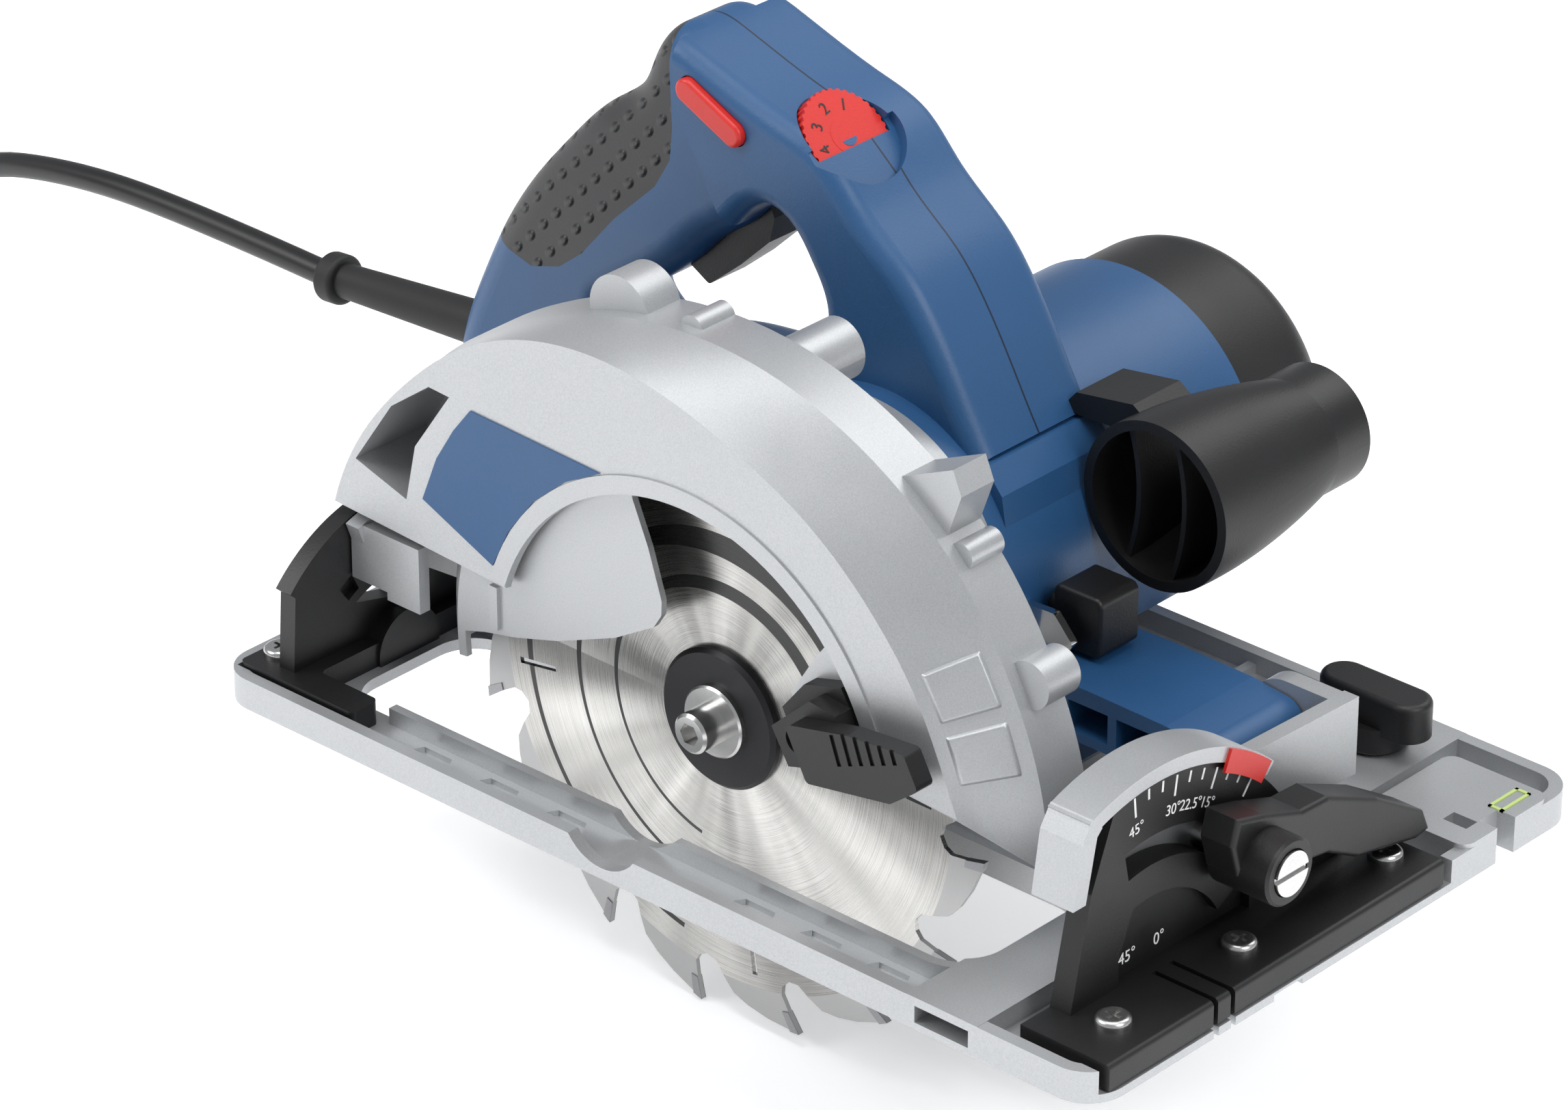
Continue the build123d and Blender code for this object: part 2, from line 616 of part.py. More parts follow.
def lower_guard():
    near, far = lower_guard_y
    sheet = lower_guard_sheet
    r_flat = lower_guard_face_r - 1
    body = guard_rim()
    body += slab_y(ring_sector(74, r_flat, guard_trail, 112, arbor_x, arbor_z), near, near + sheet)
    # wide sector at the leading end
    arc = ThreePointArc(around(r_flat, 181), around(r_flat, 145), around(r_flat, 108))
    edge = Polyline(around(r_flat, 108), (-34.0, 93.9), (-28.3, 80.9), (-23.4, 66.0), (-23.6, 61.5), (-26.5, 57.0),
                    (-41.1, 48.3), (-63.1, 39.1), (-80, 34.0), (-91.5, 31.5), around(r_flat, 181))
    body += slab_y(make_face([arc, edge]), near, near + sheet)
    body += block(-88.5, -85.5, near - 1.2, near, 34.5, 48)
    # arm at the trailing end that carries the lever
    arm = [around(r_flat, 28), around(r_flat, 40), around(74, 44), around(60, 42), around(44, 36), around(44, 13),
           around(60, 11), around(76, 20)]
    body += slab_y(polygon(arm), near, near + sheet)
    web = ring_sector(24, lower_guard_r - 1, guard_trail, guard_lead, arbor_x, arbor_z)
    body += slab_y(web, far - sheet, far)
    body += rod_y(arbor_x, arbor_z, 27.5, far - sheet, far)
    body -= rod_y(arbor_x, arbor_z, hub_boss_r + lower_ring_gap, far - sheet - 1, far + 1)
    return body - rod_y(*lever_screw_at(), 2.5, near - 1, near + sheet + 1)


def lever_screw_at():
    return around(lever_screw_r, lever_screw_angle)


def guard_lever():
    face = lower_guard_y[0]
    x, z = lever_screw_at()
    foot = polygon([around(44, 33), around(56, 37), around(69, 33), around(70, 24), around(69, 14), around(46, 13)])
    neck = polygon([around(44, 29), around(62, 33), around(69.5, 28), around(69.5, 15), around(46, 14)])
    thumb = polygon([around(56, 30), around(78, 25), around(97, 21), around(99, 15), around(88, 12),
                     around(58, 13)])
    grip = slab_y(thumb, face - 17.0, face - 10.5)
    grip = fillet(grip.edges().filter_by(Axis.Y), 1.8)
    body = slab_y(foot, face - 5.0, face) + slab_y(neck, face - 11.0, face - 4.5) + grip
    for k in range(6):
        tx, tz = around(72 + 4.2 * k, 22)
        body -= Pos(tx, face - 17.0, tz) * Rot(0, -20, 0) * Box(1.5, 1.6, 9)
    body -= rod_y(x, z, 2.5, face - 30, face + 1)
    return body - rod_y(x, z, 4.2, face - 30, face - 7)


def guard_lever_screw():
    face = lower_guard_y[0]
    x, z = lever_screw_at()
    head = rod_y(x, z, 4.0, face - 9.6, face - 7)
    head -= slab_y(Pos(x, z) * RegularPolygon(1.8, 6), face - 10, face - 8.4)
    return head + rod_y(x, z, 2.5, face - 7, face + lower_guard_sheet)


def retaining_ring():
    ring = Circle(groove_r + 4.9) - Circle(groove_r) - Pos(18, 0) * Rectangle(14, 6)
    return slab_y(Pos(arbor_x, arbor_z) * ring, -45.1, -43.9)


# ======================================================== blade and its clamp
tooth_shape = [(0.0, 0.0), (-1.3, 6.0), (-2.3, 11.5), (-1.6, 14.2), (0.4, 16.0), (3.0, 15.2), (5.0, 11.5), (7.5, 7.5),
               (11.0, 5.2), (15.5, 3.0)]


def blade_and_tips():
    """Steel body with one carbide tip seated in the front of each tooth."""
    tip = blade_d / 2
    step = 360.0 / teeth
    starts = [first_tooth + k * step for k in range(teeth)]
    outline = [around(tip - depth, a + turn) for a in starts for turn, depth in tooth_shape]
    steel = slab_y(polygon(outline), blade_near, blade_far)
    tips = []
    for a in starts:
        seat = polygon([around(tip, a), around(tip - 6.5, a - 1.42), around(tip - 6.5, a - 2.9),
                        around(tip - 0.6, a - 1.9)])
        steel -= slab_y(seat, blade_near, blade_far)
        tips.append(slab_y(seat, blade_y - kerf / 2, blade_y + kerf / 2))
    steel -= rod_y(arbor_x, arbor_z, bore / 2, blade_near - 1, blade_far + 1)
    # expansion slots
    for k in range(4):
        a = first_tooth + 13 + 90 * k
        steel -= slab_y(ring_sector(65.0, 79.0, a, a + 1.4, arbor_x, arbor_z), blade_near - 1, blade_far + 1)
    return steel, group(tips)


def flatted(y0, y1):
    """Round end of the spindle with two flats."""
    return slab_y(Pos(arbor_x, arbor_z) * (Circle(spindle_end_d / 2) & Rectangle(40, spindle_flats)), y0, y1)


def spindle():
    shoulder = blade_far + inner_flange_t
    body = flatted(spindle_near, shoulder)
    body += rod_y(arbor_x, arbor_z, spindle_d / 2, shoulder, spindle_shoulder)
    body += rod_y(arbor_x, arbor_z, spindle_tail_d / 2, spindle_shoulder, spindle_tail)
    return body - rod_y(arbor_x, arbor_z, bolt_d / 2, spindle_near - 1, bolt_seat + bolt_thread + 1)


def inner_flange():
    body = rod_y(arbor_x, arbor_z, flange_d / 2, blade_far, blade_far + inner_flange_t)
    body = chamfer(body.edges().group_by(Axis.Y)[-1], 1.2)
    body += rod_y(arbor_x, arbor_z, bore / 2, blade_near + 0.2, blade_far)
    return body - flatted(blade_near - 1, blade_far + inner_flange_t + 1)


def clamp_flange():
    body = rod_y(arbor_x, arbor_z, flange_d / 2, clamp_near, blade_near)
    body = chamfer(body.edges().group_by(Axis.Y)[0], 1.2)
    body -= flatted(spindle_near, blade_near + 1)
    return body - rod_y(arbor_x, arbor_z, bolt_d / 2, clamp_near - 1, blade_near)


def washer_and_bolt():
    washer = rod_y(arbor_x, arbor_z, washer_d / 2, bolt_seat, clamp_near)
    washer = chamfer(washer.edges().group_by(Axis.Y)[0], 0.6)
    washer -= rod_y(arbor_x, arbor_z, bolt_d / 2, bolt_seat - 1, clamp_near + 1)
    head = rod_y(arbor_x, arbor_z, bolt_head_d / 2, bolt_seat - bolt_head_h, bolt_seat)
    head = chamfer(head.edges().group_by(Axis.Y)[0], 0.8)
    socket = Pos(arbor_x, arbor_z) * RegularPolygon(3.4, 6)
    head -= slab_y(socket, bolt_seat - bolt_head_h - 1, bolt_seat - bolt_head_h / 2)
    return washer, head + rod_y(arbor_x, arbor_z, bolt_d / 2, bolt_seat, bolt_seat + bolt_thread)


# ============================================================ gears and motor
def involute_gear(count, cx, cz, start, y0, y1, hole_r):
    """Spur gear with involute flanks; one tooth points at angle start."""
    pitch_r = gear_module * count / 2
    base_r = pitch_r * cos(radians(20))
    tip_r = pitch_r + gear_module * 0.95
    root_r = pitch_r - gear_module * 1.22
    half = degrees(pi / (2 * count) - gear_backlash / 4 / pitch_r)
    inv20 = degrees(tan(radians(20)) - radians(20))

    def half_angle(r):
        if r <= base_r:
            return half + inv20
        pressure = atan2(sqrt(r * r - base_r * base_r), base_r)
        return half + inv20 - degrees(tan(pressure) - pressure)

    first_r = max(base_r, root_r)
    radii = [root_r] + [first_r + (tip_r - first_r) * k / 5 for k in range(1, 6)]
    points = []
    for k in range(count):
        mid = start + 360.0 * k / count
        points += [around(r, mid - half_angle(r), cx, cz) for r in radii]
        points += [around(r, mid + half_angle(r), cx, cz) for r in reversed(radii)]
    return slab_y(polygon(points), y0, y1) - rod_y(cx, cz, hole_r, y0 - 1, y1 + 1)


def gears():
    far = gear_near + gear_width
    wheel = involute_gear(wheel_teeth, arbor_x, arbor_z, gear_angle, gear_near, far, spindle_d / 2)
    for k in range(6):
        x, z = around(14.5, 60 * k)
        wheel -= rod_y(x, z, 4.0, gear_near - 1, far + 1)
    gap_start = gear_angle + 180 + 180.0 / pinion_teeth
    pinion = involute_gear(pinion_teeth, rotor_x, rotor_z, gap_start, gear_near - 1, far + 1, pinion_shaft_d / 2)
    return wheel, pinion


def rotor_parts():
    steps = ((pinion_shaft_d, rotor_near, -13.5), (bearing_shaft_d, -13.5, 14), (core_shaft_d, 14, 110),
             (tail_shaft_d, 110, rotor_far))
    shaft = rod_y(rotor_x, rotor_z, steps[0][0] / 2, *steps[0][1:])
    for d, y0, y1 in steps[1:]:
        shaft += rod_y(rotor_x, rotor_z, d / 2, y0, y1)
    core = Circle(armature_d / 2)
    for k in range(12):
        core -= Pos(*around(armature_d / 2 - 1.2, 30 * k, 0, 0)) * Circle(2.0)
    armature = slab_y(Pos(rotor_x, rotor_z) * core, 40, 82)
    for y0, y1 in ((33, 40), (82, 89)):
        armature += rod_y(rotor_x, rotor_z, armature_d / 2 - 5, y0, y1)
    armature -= rod_y(rotor_x, rotor_z, core_shaft_d / 2, 20, 95)
    bars = Circle(13.0)
    for k in range(24):
        bars -= Rot(0, 0, 15 * k) * Pos(12.6, 0) * Rectangle(1.6, 0.5)
    commutator = slab_y(Pos(rotor_x, rotor_z) * (bars - Circle(core_shaft_d / 2)), 93, 107)
    fan = rod_y(rotor_x, rotor_z, 38.0, 16, 18.0) + rod_y(rotor_x, rotor_z, 9.0, 16, 26)
    for k in range(13):
        vane = Rot(0, 0, 360 / 13 * k) * Pos(23.5, 0) * Rot(0, 0, 25) * Rectangle(26, 1.6)
        fan += slab_y(Pos(rotor_x, rotor_z) * vane, 17.5, 26)
    fan -= rod_y(rotor_x, rotor_z, core_shaft_d / 2, 10, 30)
    return shaft, armature, commutator, fan


def ball_bearing(x, z, shaft_d, seat):
    """Closed bearing with a seal groove in its near face."""
    r_out, y0, y1 = seat
    r_in = shaft_d / 2 + fit_gap
    third = (r_out - r_in) * 0.3
    body = rod_y(x, z, r_out, y0, y1) - rod_y(x, z, r_in, y0 - 1, y1 + 1)
    return body - slab_y(Pos(x, z) * (Circle(r_out - third) - Circle(r_in + third)), y0, y0 + 0.6)


def bearing_seat(x, z, seat, open_to):
    r_out, y0, y1 = seat
    return rod_y(x, z, r_out, min(y0, open_to), max(y1, open_to))


def gear_housing():
    """Gearbox case; its nose carries the blade guard, the lower guard and the spindle."""
    tangent = motor_r - 9
    body = rod_y(arbor_x, arbor_z, 28.6, housing_front, gearcase_back)
    body += rod_y(arbor_x, arbor_z, 12.5, gearcase_back - 1, housing_split)
    body += rod_y(rotor_x, rotor_z, motor_r, -22.0, housing_split)
    body += rod_y(rotor_x, rotor_z, tangent, housing_front, -20.0)
    sides = polygon([(arbor_x - 28.6, arbor_z), (rotor_x - tangent, rotor_z), (rotor_x + tangent, rotor_z),
                     (arbor_x + 28.6, arbor_z)])
    body += slab_y(sides, housing_front, gearcase_back)
    # gear chamber
    body -= rod_y(arbor_x, arbor_z, 27.0, -31.0, gearcase_back - 2)
    body -= rod_y(rotor_x, rotor_z, 9.0, -31.0, gearcase_back - 2)
    # nose with the groove of the retaining ring
    nose = rod_y(arbor_x, arbor_z, hub_boss_r, -46.5, -30.9)
    nose -= slab_y(Pos(arbor_x, arbor_z) * (Circle(hub_boss_r + 1) - Circle(groove_r)), -45.2, -43.8)
    body += nose
    body -= bearing_seat(arbor_x, arbor_z, spindle_bearing, -47.0)
    body -= rod_y(arbor_x, arbor_z, spindle_d / 2 + 0.7, -50, gearcase_back - 1)
    body -= bearing_seat(arbor_x, arbor_z, spindle_tail_bearing, gearcase_back - 2.5)
    body -= rod_y(rotor_x, rotor_z, pinion_shaft_d / 2 + 0.6, rotor_near - 1, -12)
    body -= bearing_seat(rotor_x, rotor_z, rotor_bearing, housing_split + 1)
    return body - rod_y(rotor_x, rotor_z, bearing_shaft_d / 2 + 1, -14, housing_split + 1)


def motor_nose():
    """Front of the motor housing, between the handle's arm and the pivot arm."""
    face = polygon([(0, 96), (31, 99), (37, 92), (39, 80), (43, 62), (45, 47), (30, 26), (0, 30)])
    return slab_y(face, 4.0, 50.0)


def motor_housing():
    body = rod_y(rotor_x, rotor_z, motor_r, housing_split, motor_end)
    body += motor_nose()
    body -= rod_y(*nozzle_mouth[::2], nozzle_mouth_r + skin_gap, nozzle_mouth[1] - 1, 60)
    body -= rod_y(rotor_x, rotor_z, stator_d / 2, housing_split + 6, motor_end + 1)
    body -= rod_y(rotor_x, rotor_z, rotor_bearing[0] - 3, housing_split - 1, housing_split + 8)
    body -= rod_x(20, 56, 4.0 + fit_gap, 34, 60)
    for k in range(9):
        slot = ring_sector(stator_d / 2 - 2, motor_r + 2, 218 + 12 * k, 223 + 12 * k, rotor_x, rotor_z)
        body -= slab_y(slot, 11, 24)
    return body


def pivot_arm():
    """Arm from the motor housing to the barrel on the pivot pin."""
    r = pivot_tube_d / 2
    profile = polygon([(20, 26), (38, 46.5), (72, 47.5), (100, 47), (pivot_x, pivot_z + r), (pivot_x, pivot_z - r),
                       (100, 27), (70, 21), (40, 18)])
    arm = slab_y(profile, tube_near, tube_far)
    # ribbed hollow, open to the blade side
    for x0, x1 in ((49, 63), (66, 80), (83, 98)):
        for z0, z1 in ((10, 30.5), (33.5, 42.5)):
            arm -= block(x0, x1, tube_near - 1, tube_far - 3.0, z0, z1)
    arm += rod_y(pivot_x, pivot_z, r, tube_near, tube_far)
    arm -= rod_y(pivot_x, pivot_z, pivot_pin_d / 2 + fit_gap, tube_near - 1, tube_far + 1)
    return cut_by(arm, rod_y(rotor_x, rotor_z, motor_r, tube_near - 1, tube_far + 1), motor_nose())


def motor_end_cap():
    inner_end = cap_end - 3
    body = rod_y(rotor_x, rotor_z, cap_r, motor_end, cap_end)
    body = fillet(body.edges().group_by(Axis.Y)[-1], cap_round)
    body -= rod_y(rotor_x, rotor_z, cap_r - motor_wall, motor_end - 1, cap_end - cap_round)
    body -= rod_y(rotor_x, rotor_z, cap_r - cap_round, motor_end, inner_end)
    r_seat, y0, y1 = rotor_tail_bearing
    seat = rod_y(rotor_x, rotor_z, r_seat + 3, y0, cap_end - 2) - rod_y(rotor_x, rotor_z, r_seat, y0 - 1, y1)
    seat -= rod_y(rotor_x, rotor_z, tail_shaft_d / 2 + 1, y1 - 1, rotor_far + 2)
    for side in (-1, 1):
        x0, x1 = sorted((rotor_x + side * (r_seat + 2), rotor_x + side * (cap_r - cap_round + 1)))
        seat += block(x0, x1, y0 + 8, inner_end + 1, rotor_z - 3, rotor_z + 3)
    body += seat
    # air slots in the end face
    for k in range(5):
        z = rotor_z - 20 + 10 * k
        for side in (-1, 1):
            x = rotor_x + side * 24
            body -= block(x - 7, x + 7, cap_end - 6, cap_end + 1, z - 2, z + 2)
    return body


def stator():
    r_in = armature_d / 2 + air_gap
    body = rod_y(rotor_x, rotor_z, stator_d / 2, 38, 84) - rod_y(rotor_x, rotor_z, r_in, 30, 90)
    for side in (0, 180):
        coil = ring_sector(r_in + 2, stator_d / 2 - 4, side - 55, side + 55, rotor_x, rotor_z)
        body += slab_y(coil, 32, 38) + slab_y(coil, 84, 90)
    return body


def brushes():
    """Brush holders on both sides of the commutator, each with its carbon."""
    holders = []
    carbons = []
    for side in (-1, 1):
        x0, x1 = sorted((rotor_x + side * 14.5, rotor_x + side * 41.0))
        c0, c1 = sorted((rotor_x + side * 13.2, rotor_x + side * 32.0))
        holder = block(x0, x1, 94, 106, rotor_z - 6, rotor_z + 6)
        carbon = block(c0, c1, 97, 103, rotor_z - 3.5, rotor_z + 3.5)
        holders.append(holder - carbon)
        carbons.append(carbon)
    return group(holders), group(carbons)


# ==================================================================== handle
outer_top = [(29.5, 100), (19, 118), (9, 134), (-0.5, 145.5), (-17.6, 159.5), (-30.5, 172), (-48.5, 178.5),
             (-78, 188), (-91, 190), (-101.5, 180.5), (-107, 169), (-121.5, 157), (-136.5, 142.5), (-152, 124.5),
             (-163.5, 107), (-171.5, 91), (-178, 76), (-182, 62)]
outer_low = [(-180, 52), (-140, 48), (-92, 47), (-60, 44)]
opening = [(-118, 96), (-104, 106), (-88, 119), (-79, 128), (-67, 137), (-52, 150), (-44, 148), (-36, 139),
           (-30, 127), (-31, 116), (-40, 104), (-62, 96), (-95, 90), (-112, 88)]
rubber_edge = [(-93, 205), (-91, 160), (-92, 150), (-98, 140), (-114, 125), (-127, 110), (-136, 103), (-147, 99.6),
               (-158, 102.6), (-200, 112), (-200, 205)]


def shifted(points, distance, closed):
    """Outline points moved to the left of the way they run."""
    count = len(points)
    moved = []
    for k, (x, z) in enumerate(points):
        ax, az = points[(k - 1) % count] if closed or k > 0 else points[k]
        bx, bz = points[(k + 1) % count] if closed or k < count - 1 else points[k]
        run = hypot(bx - ax, bz - az)
        moved.append((x - (bz - az) / run * distance, z + (bx - ax) / run * distance))
    return moved


def handle_profile(inset):
    """Side view of the handle with its finger opening, pulled in by inset."""
    curve = shifted(outer_top, inset, False)
    low = [(x + inset, z + inset) for x, z in outer_low]
    face = make_face([Spline(*curve), Polyline(curve[-1], *low, (rotor_x, rotor_z), curve[0])])
    return face - make_face(Spline(*shifted(opening, inset, True), periodic=True))


def round_rims(body, radius):
    """Fillet of the curved edges of both side faces."""
    rims = body.edges().group_by(Axis.Y)[0] + body.edges().group_by(Axis.Y)[-1]
    return fillet(rims.filter_by(GeomType.LINE, reverse=True), radius)


def handle_body():
    grip = slab_y(handle_profile(0), handle_y - grip_half, handle_y + grip_half)
    grip = round_rims(grip, grip_round)
    front = polygon([(-86, 205), (-84, 172), (-66, 140), (-40, 128), (-44, 100), (-52, 60), (0, 50), (80, 60), (80, 205)])
    wide = slab_y(handle_profile(0) & front, handle_y - arm_half, handle_y + arm_half)
    return grip + round_rims(wide, arm_round)


def trigger_outline():
    return [(-94, 113.5), (-87, 109.6), (-75, 119.5), (-64, 130), (-62, 138), (-66, 146), (-74, 146), (-90, 132),
            (-99, 120)]


def trigger():
    px, pz = trigger_pivot
    body = slab_y(polygon(trigger_outline()), handle_y - trigger_half, handle_y + trigger_half)
    body = fillet(body.edges().filter_by(Axis.Y).sort_by(Axis.Z)[:2], 1.5)
    return body + rod_y(px, pz, 2.5, handle_y - trigger_half - 3, handle_y + trigger_half + 3)


def trigger_room():
    px, pz = trigger_pivot
    outline = offset(polygon(trigger_outline()), skin_gap)
    room = slab_y(outline, handle_y - trigger_half - skin_gap, handle_y + trigger_half + skin_gap)
    half = Pos(px, 0, pz) * Rot(0, trigger_travel / 2, 0) * Pos(-px, 0, -pz) * room
    full = Pos(px, 0, pz) * Rot(0, trigger_travel, 0) * Pos(-px, 0, -pz) * room
    pin = rod_y(px, pz, 2.5 + fit_gap, handle_y - trigger_half - 3.3, handle_y + trigger_half + 3.3)
    return room + half + full + pin


def lock_body(grow, y0, y1):
    (xa, za), (xb, zb) = lock_from, lock_to
    length = hypot(xb - xa, zb - za) + 2 * lock_half + 2 * grow
    turn = degrees(atan2(zb - za, xb - xa))
    face = Pos((xa + xb) / 2, (za + zb) / 2) * Rot(0, 0, turn) * SlotOverall(length, 2 * lock_half + 2 * grow)
    return slab_y(face, y0, y1)


def lock_button():
    side = handle_y - arm_half
    body = lock_body(0, side - lock_proud, side + 5)
    return fillet(body.edges().group_by(Axis.Y)[0], 1.2)


def dial_place(turn):
    return Pos(*dial_at) * Rot(0, turn, 0)


def speed_dial():
    body = Cylinder(dial_d / 2, dial_t)
    for k in range(36):
        body -= Rot(0, 0, 10 * k) * Pos(dial_d / 2 + 0.25, 0, 0) * Cylinder(0.8, dial_t + 2)
    body -= Cylinder(3.0 + fit_gap, dial_t + 2)
    return dial_place(dial_slope + dial_tilt) * Pos(0, 0, -dial_t / 2) * body


def dial_room():
    tilt = dial_slope + dial_tilt
    r = dial_d / 2 + skin_gap
    slot = dial_place(tilt) * Pos(0, 0, -dial_t / 2) * (Cylinder(r, dial_t + 0.6) - Cylinder(3.0, dial_t + 2))
    above = dial_place(tilt) * Pos(-r / 2, 0, 5) * Box(r, 2 * r, 10)
    above &= dial_place(tilt) * Pos(0, 0, 5) * Cylinder(r, 10)
    scoop = dial_place(dial_slope + dial_tilt * 0.62) * Pos(0, 0, 5) * Cylinder(r + 2, 10)
    scoop &= dial_place(dial_slope) * Pos(r, 0, 0) * Box(2 * r, 60, 30)
    return slot + above + scoop


def switch_place():
    return Pos(-117, handle_y, 133) * Rot(0, -45, 0)


def switch_module():
    body = switch_place() * Box(26, 14, 16)
    return body + switch_place() * Pos(0, 0, -9) * Box(8, 6, 3)


def screw_points():
    return [(-160, 84), (-100, 66), (-14, 128), (-96, 178)]


def handle_screws():
    """Screws that hold the handle's halves, their heads sunk in the motor-side half."""
    screws = []
    for x, z in screw_points():
        face = handle_y + grip_half - 3
        head = rod_y(x, z, 3.5, face - 2.6, face)
        head -= block(x - 2.2, x + 2.2, face - 1.2, face + 1, z - 0.5, z + 0.5)
        head -= block(x - 0.5, x + 0.5, face - 1.2, face + 1, z - 2.2, z + 2.2)
        screws.append(head + rod_y(x, z, 1.9, handle_y - 8, face - 2.6))
    return group(screws)


def screw_rooms(outer):
    room = None
    for x, z in screw_points():
        face = handle_y + grip_half - 3
        hole = rod_y(x, z, 3.5, face - 2.6, handle_y + arm_half + 2) + rod_y(x, z, 1.9, handle_y - 8, face - 2.6)
        room = hole if room is None else room + hole
    return room


def handle_parts(neighbours):
    body = cut_by(handle_body(), *neighbours)
    zone = polygon(rubber_edge)
    core = slab_y(handle_profile(grip_skin), handle_y - grip_half + grip_skin, handle_y + grip_half - grip_skin)
    core = round_rims(core, grip_round - grip_skin)
    grip = (body & slab_y(zone, 0, 60)) - core
    shells = body - grip
    shells -= slab_y(handle_profile(shell_wall), handle_y - cavity_half, handle_y + cavity_half)
    # solid blocks that carry the screws, the trigger's pin and the lock button
    posts = None
    for x, z in screw_points() + [trigger_pivot]:
        post = rod_y(x, z, 6.5, handle_y - cavity_half - 0.5, handle_y + cavity_half + 0.5)
        posts = post if posts is None else posts + post
    shells += (posts & body) - grip
    side = handle_y - arm_half
    shells = cut_by(shells, trigger_room(), screw_rooms(shells), dial_room(), switch_module(),
                    lock_body(0.3, side - 3, side + 5 + lock_travel + skin_gap), boot_seat())
    left = shells & block(-400, 200, handle_y - 60, handle_y, 0, 300)
    right = shells & block(-400, 200, handle_y, handle_y + 60, 0, 300)
    return left, right, cut_by(grip, screw_rooms(grip))


# =============================================================== dust nozzle
def ring_face(place, r):
    x, y, z = place
    return Plane((x, y, z), x_dir=(1, 0, 0), z_dir=(0, -1, 0)) * Circle(r)


def nozzle_shape(inset, y_more):
    mx, my, mz = nozzle_mouth
    ex, ey, ez = nozzle_end
    mouth = ring_face((mx, my - y_more, mz), nozzle_mouth_r - inset)
    middle = ring_face((mx + 2, my + 22, mz + 1), nozzle_mouth_r - inset - 1)
    neck = ey - nozzle_neck
    end = ring_face((ex, neck, ez), nozzle_end_r - inset)
    return loft([mouth, middle, end]) + rod_y(ex, ez, nozzle_end_r - inset, neck, ey + y_more)


def dust_nozzle(housing):
    """Short hose nozzle with two curved vanes behind its wide mouth."""
    body = nozzle_shape(0, 0)
    mx, my, mz = nozzle_mouth
    tab = slab_y(polygon([(24, 100), (46, 101), (56, 106), (50, 110), (30, 107)]), my + 8, my + 28)
    body = body + tab - nozzle_shape(nozzle_wall, 0.01)
    inside = nozzle_shape(nozzle_wall - 0.3, 0)
    for side in (-1, 1):
        vane = ring_sector(58, 59.6, -24, 24, mx - 58 + side * 8, mz)
        body += slab_y(vane, my + 2, my + 30) & inside
    return cut_by(body, housing)


# ==================================================================== details
def spindle_lock():
    """Push button that stops the spindle, its stem running into the housing."""
    cap = block(49, 66, 12, 28, 48.5, 67)
    cap = fillet(cap.edges().filter_by(Axis.Y), 2.5)
    cap = fillet(cap.edges().group_by(Axis.Y)[0], 1.2)
    return cap + rod_x(20, 56, 4.0, 39, 50)


def spindle_lock_strap():
    strap = slab_y(polygon([(36, 61), (54.5, 61.7), (61.6, 54), (56, 48.5), (36, 48.5)]), 6.0, 8.5)
    strap = fillet(strap.edges().filter_by(Axis.Y).sort_by(Axis.X)[-3:], 1.5)
    return cut_by(strap, motor_nose(), rod_y(rotor_x, rotor_z, motor_r, 0, 20))


def depth_clamp():
    """Clamp lever behind the depth guide and the bolt it turns on."""
    near = housing_front
    far = strap_y + strap_t
    bolt = rod_y(clamp_x, clamp_z, clamp_bolt_d / 2, housing_front - guard_back, far + 13.6)
    bolt += rod_y(clamp_x, clamp_z, 5.0, near, strap_y - 0.4)
    bolt += rod_y(clamp_x, clamp_z, 4.6, far + 13.6, far + 16)
    hub = rod_y(clamp_x, clamp_z, 9.0, far + 0.5, far + 13.0)
    arm = polygon([(clamp_x + 2, clamp_z + 9), (clamp_x - 40, clamp_z + 15), (clamp_x - 46, clamp_z + 10),
                   (clamp_x - 43, clamp_z + 3), (clamp_x, clamp_z - 8)])
    lever = hub + fillet(slab_y(arm, far + 3, far + 13.0).edges().filter_by(Axis.Y), 2.0)
    return lever - rod_y(clamp_x, clamp_z, clamp_bolt_d / 2 + fit_gap, far, far + 20), bolt


# ====================================================================== cable
def boot_plane(share):
    start, end = Vector(*boot_start), Vector(*boot_end)
    return Plane(start + (end - start) * share, z_dir=(end - start).normalized())


def boot_seat():
    """Socket in the handle's heel that holds the boot."""
    start = boot_plane(0.0)
    return extrude(start * Circle(boot_d / 2), amount=-12) + extrude(start * Circle(boot_d / 2), amount=30)


def strain_relief():
    """Tapered boot with a collar at its far end."""
    length = (Vector(*boot_end) - Vector(*boot_start)).length
    body = extrude(boot_plane(0.0) * Circle(boot_d / 2), amount=-12)
    body += loft([boot_plane(0.0) * Circle(boot_d / 2), boot_plane(0.9) * Circle(boot_d / 2 - 1.6)])
    collar = extrude(boot_plane(0.9) * Circle(boot_d / 2 + 0.8), amount=length * 0.1)
    return body + fillet(collar.edges().filter_by(GeomType.CIRCLE), 1.5)


def cord_path():
    points = [Vector(*p) for p in cord_route]
    radii = []
    length = 0.0
    for a, b, c in zip(points, points[1:], points[2:]):
        turn = (b - a).get_angle(c - b)
        short = min((b - a).length, (c - b).length)
        radii.append(0.45 * short / tan(radians(turn / 2)))
    print("cord radii", [round(r) for r in radii])
    path = FilletPolyline(*points, radius=radii)
    return path


def cord_tube():
    path = cord_path()
    start = Plane(path @ 0, z_dir=path % 0)
    tube = sweep(start * Circle(cable_d / 2), path=path)
    print("cord volume ratio", round(tube.volume / (pi * cable_d ** 2 / 4 * path.length), 4), round(path.length))
    return tube


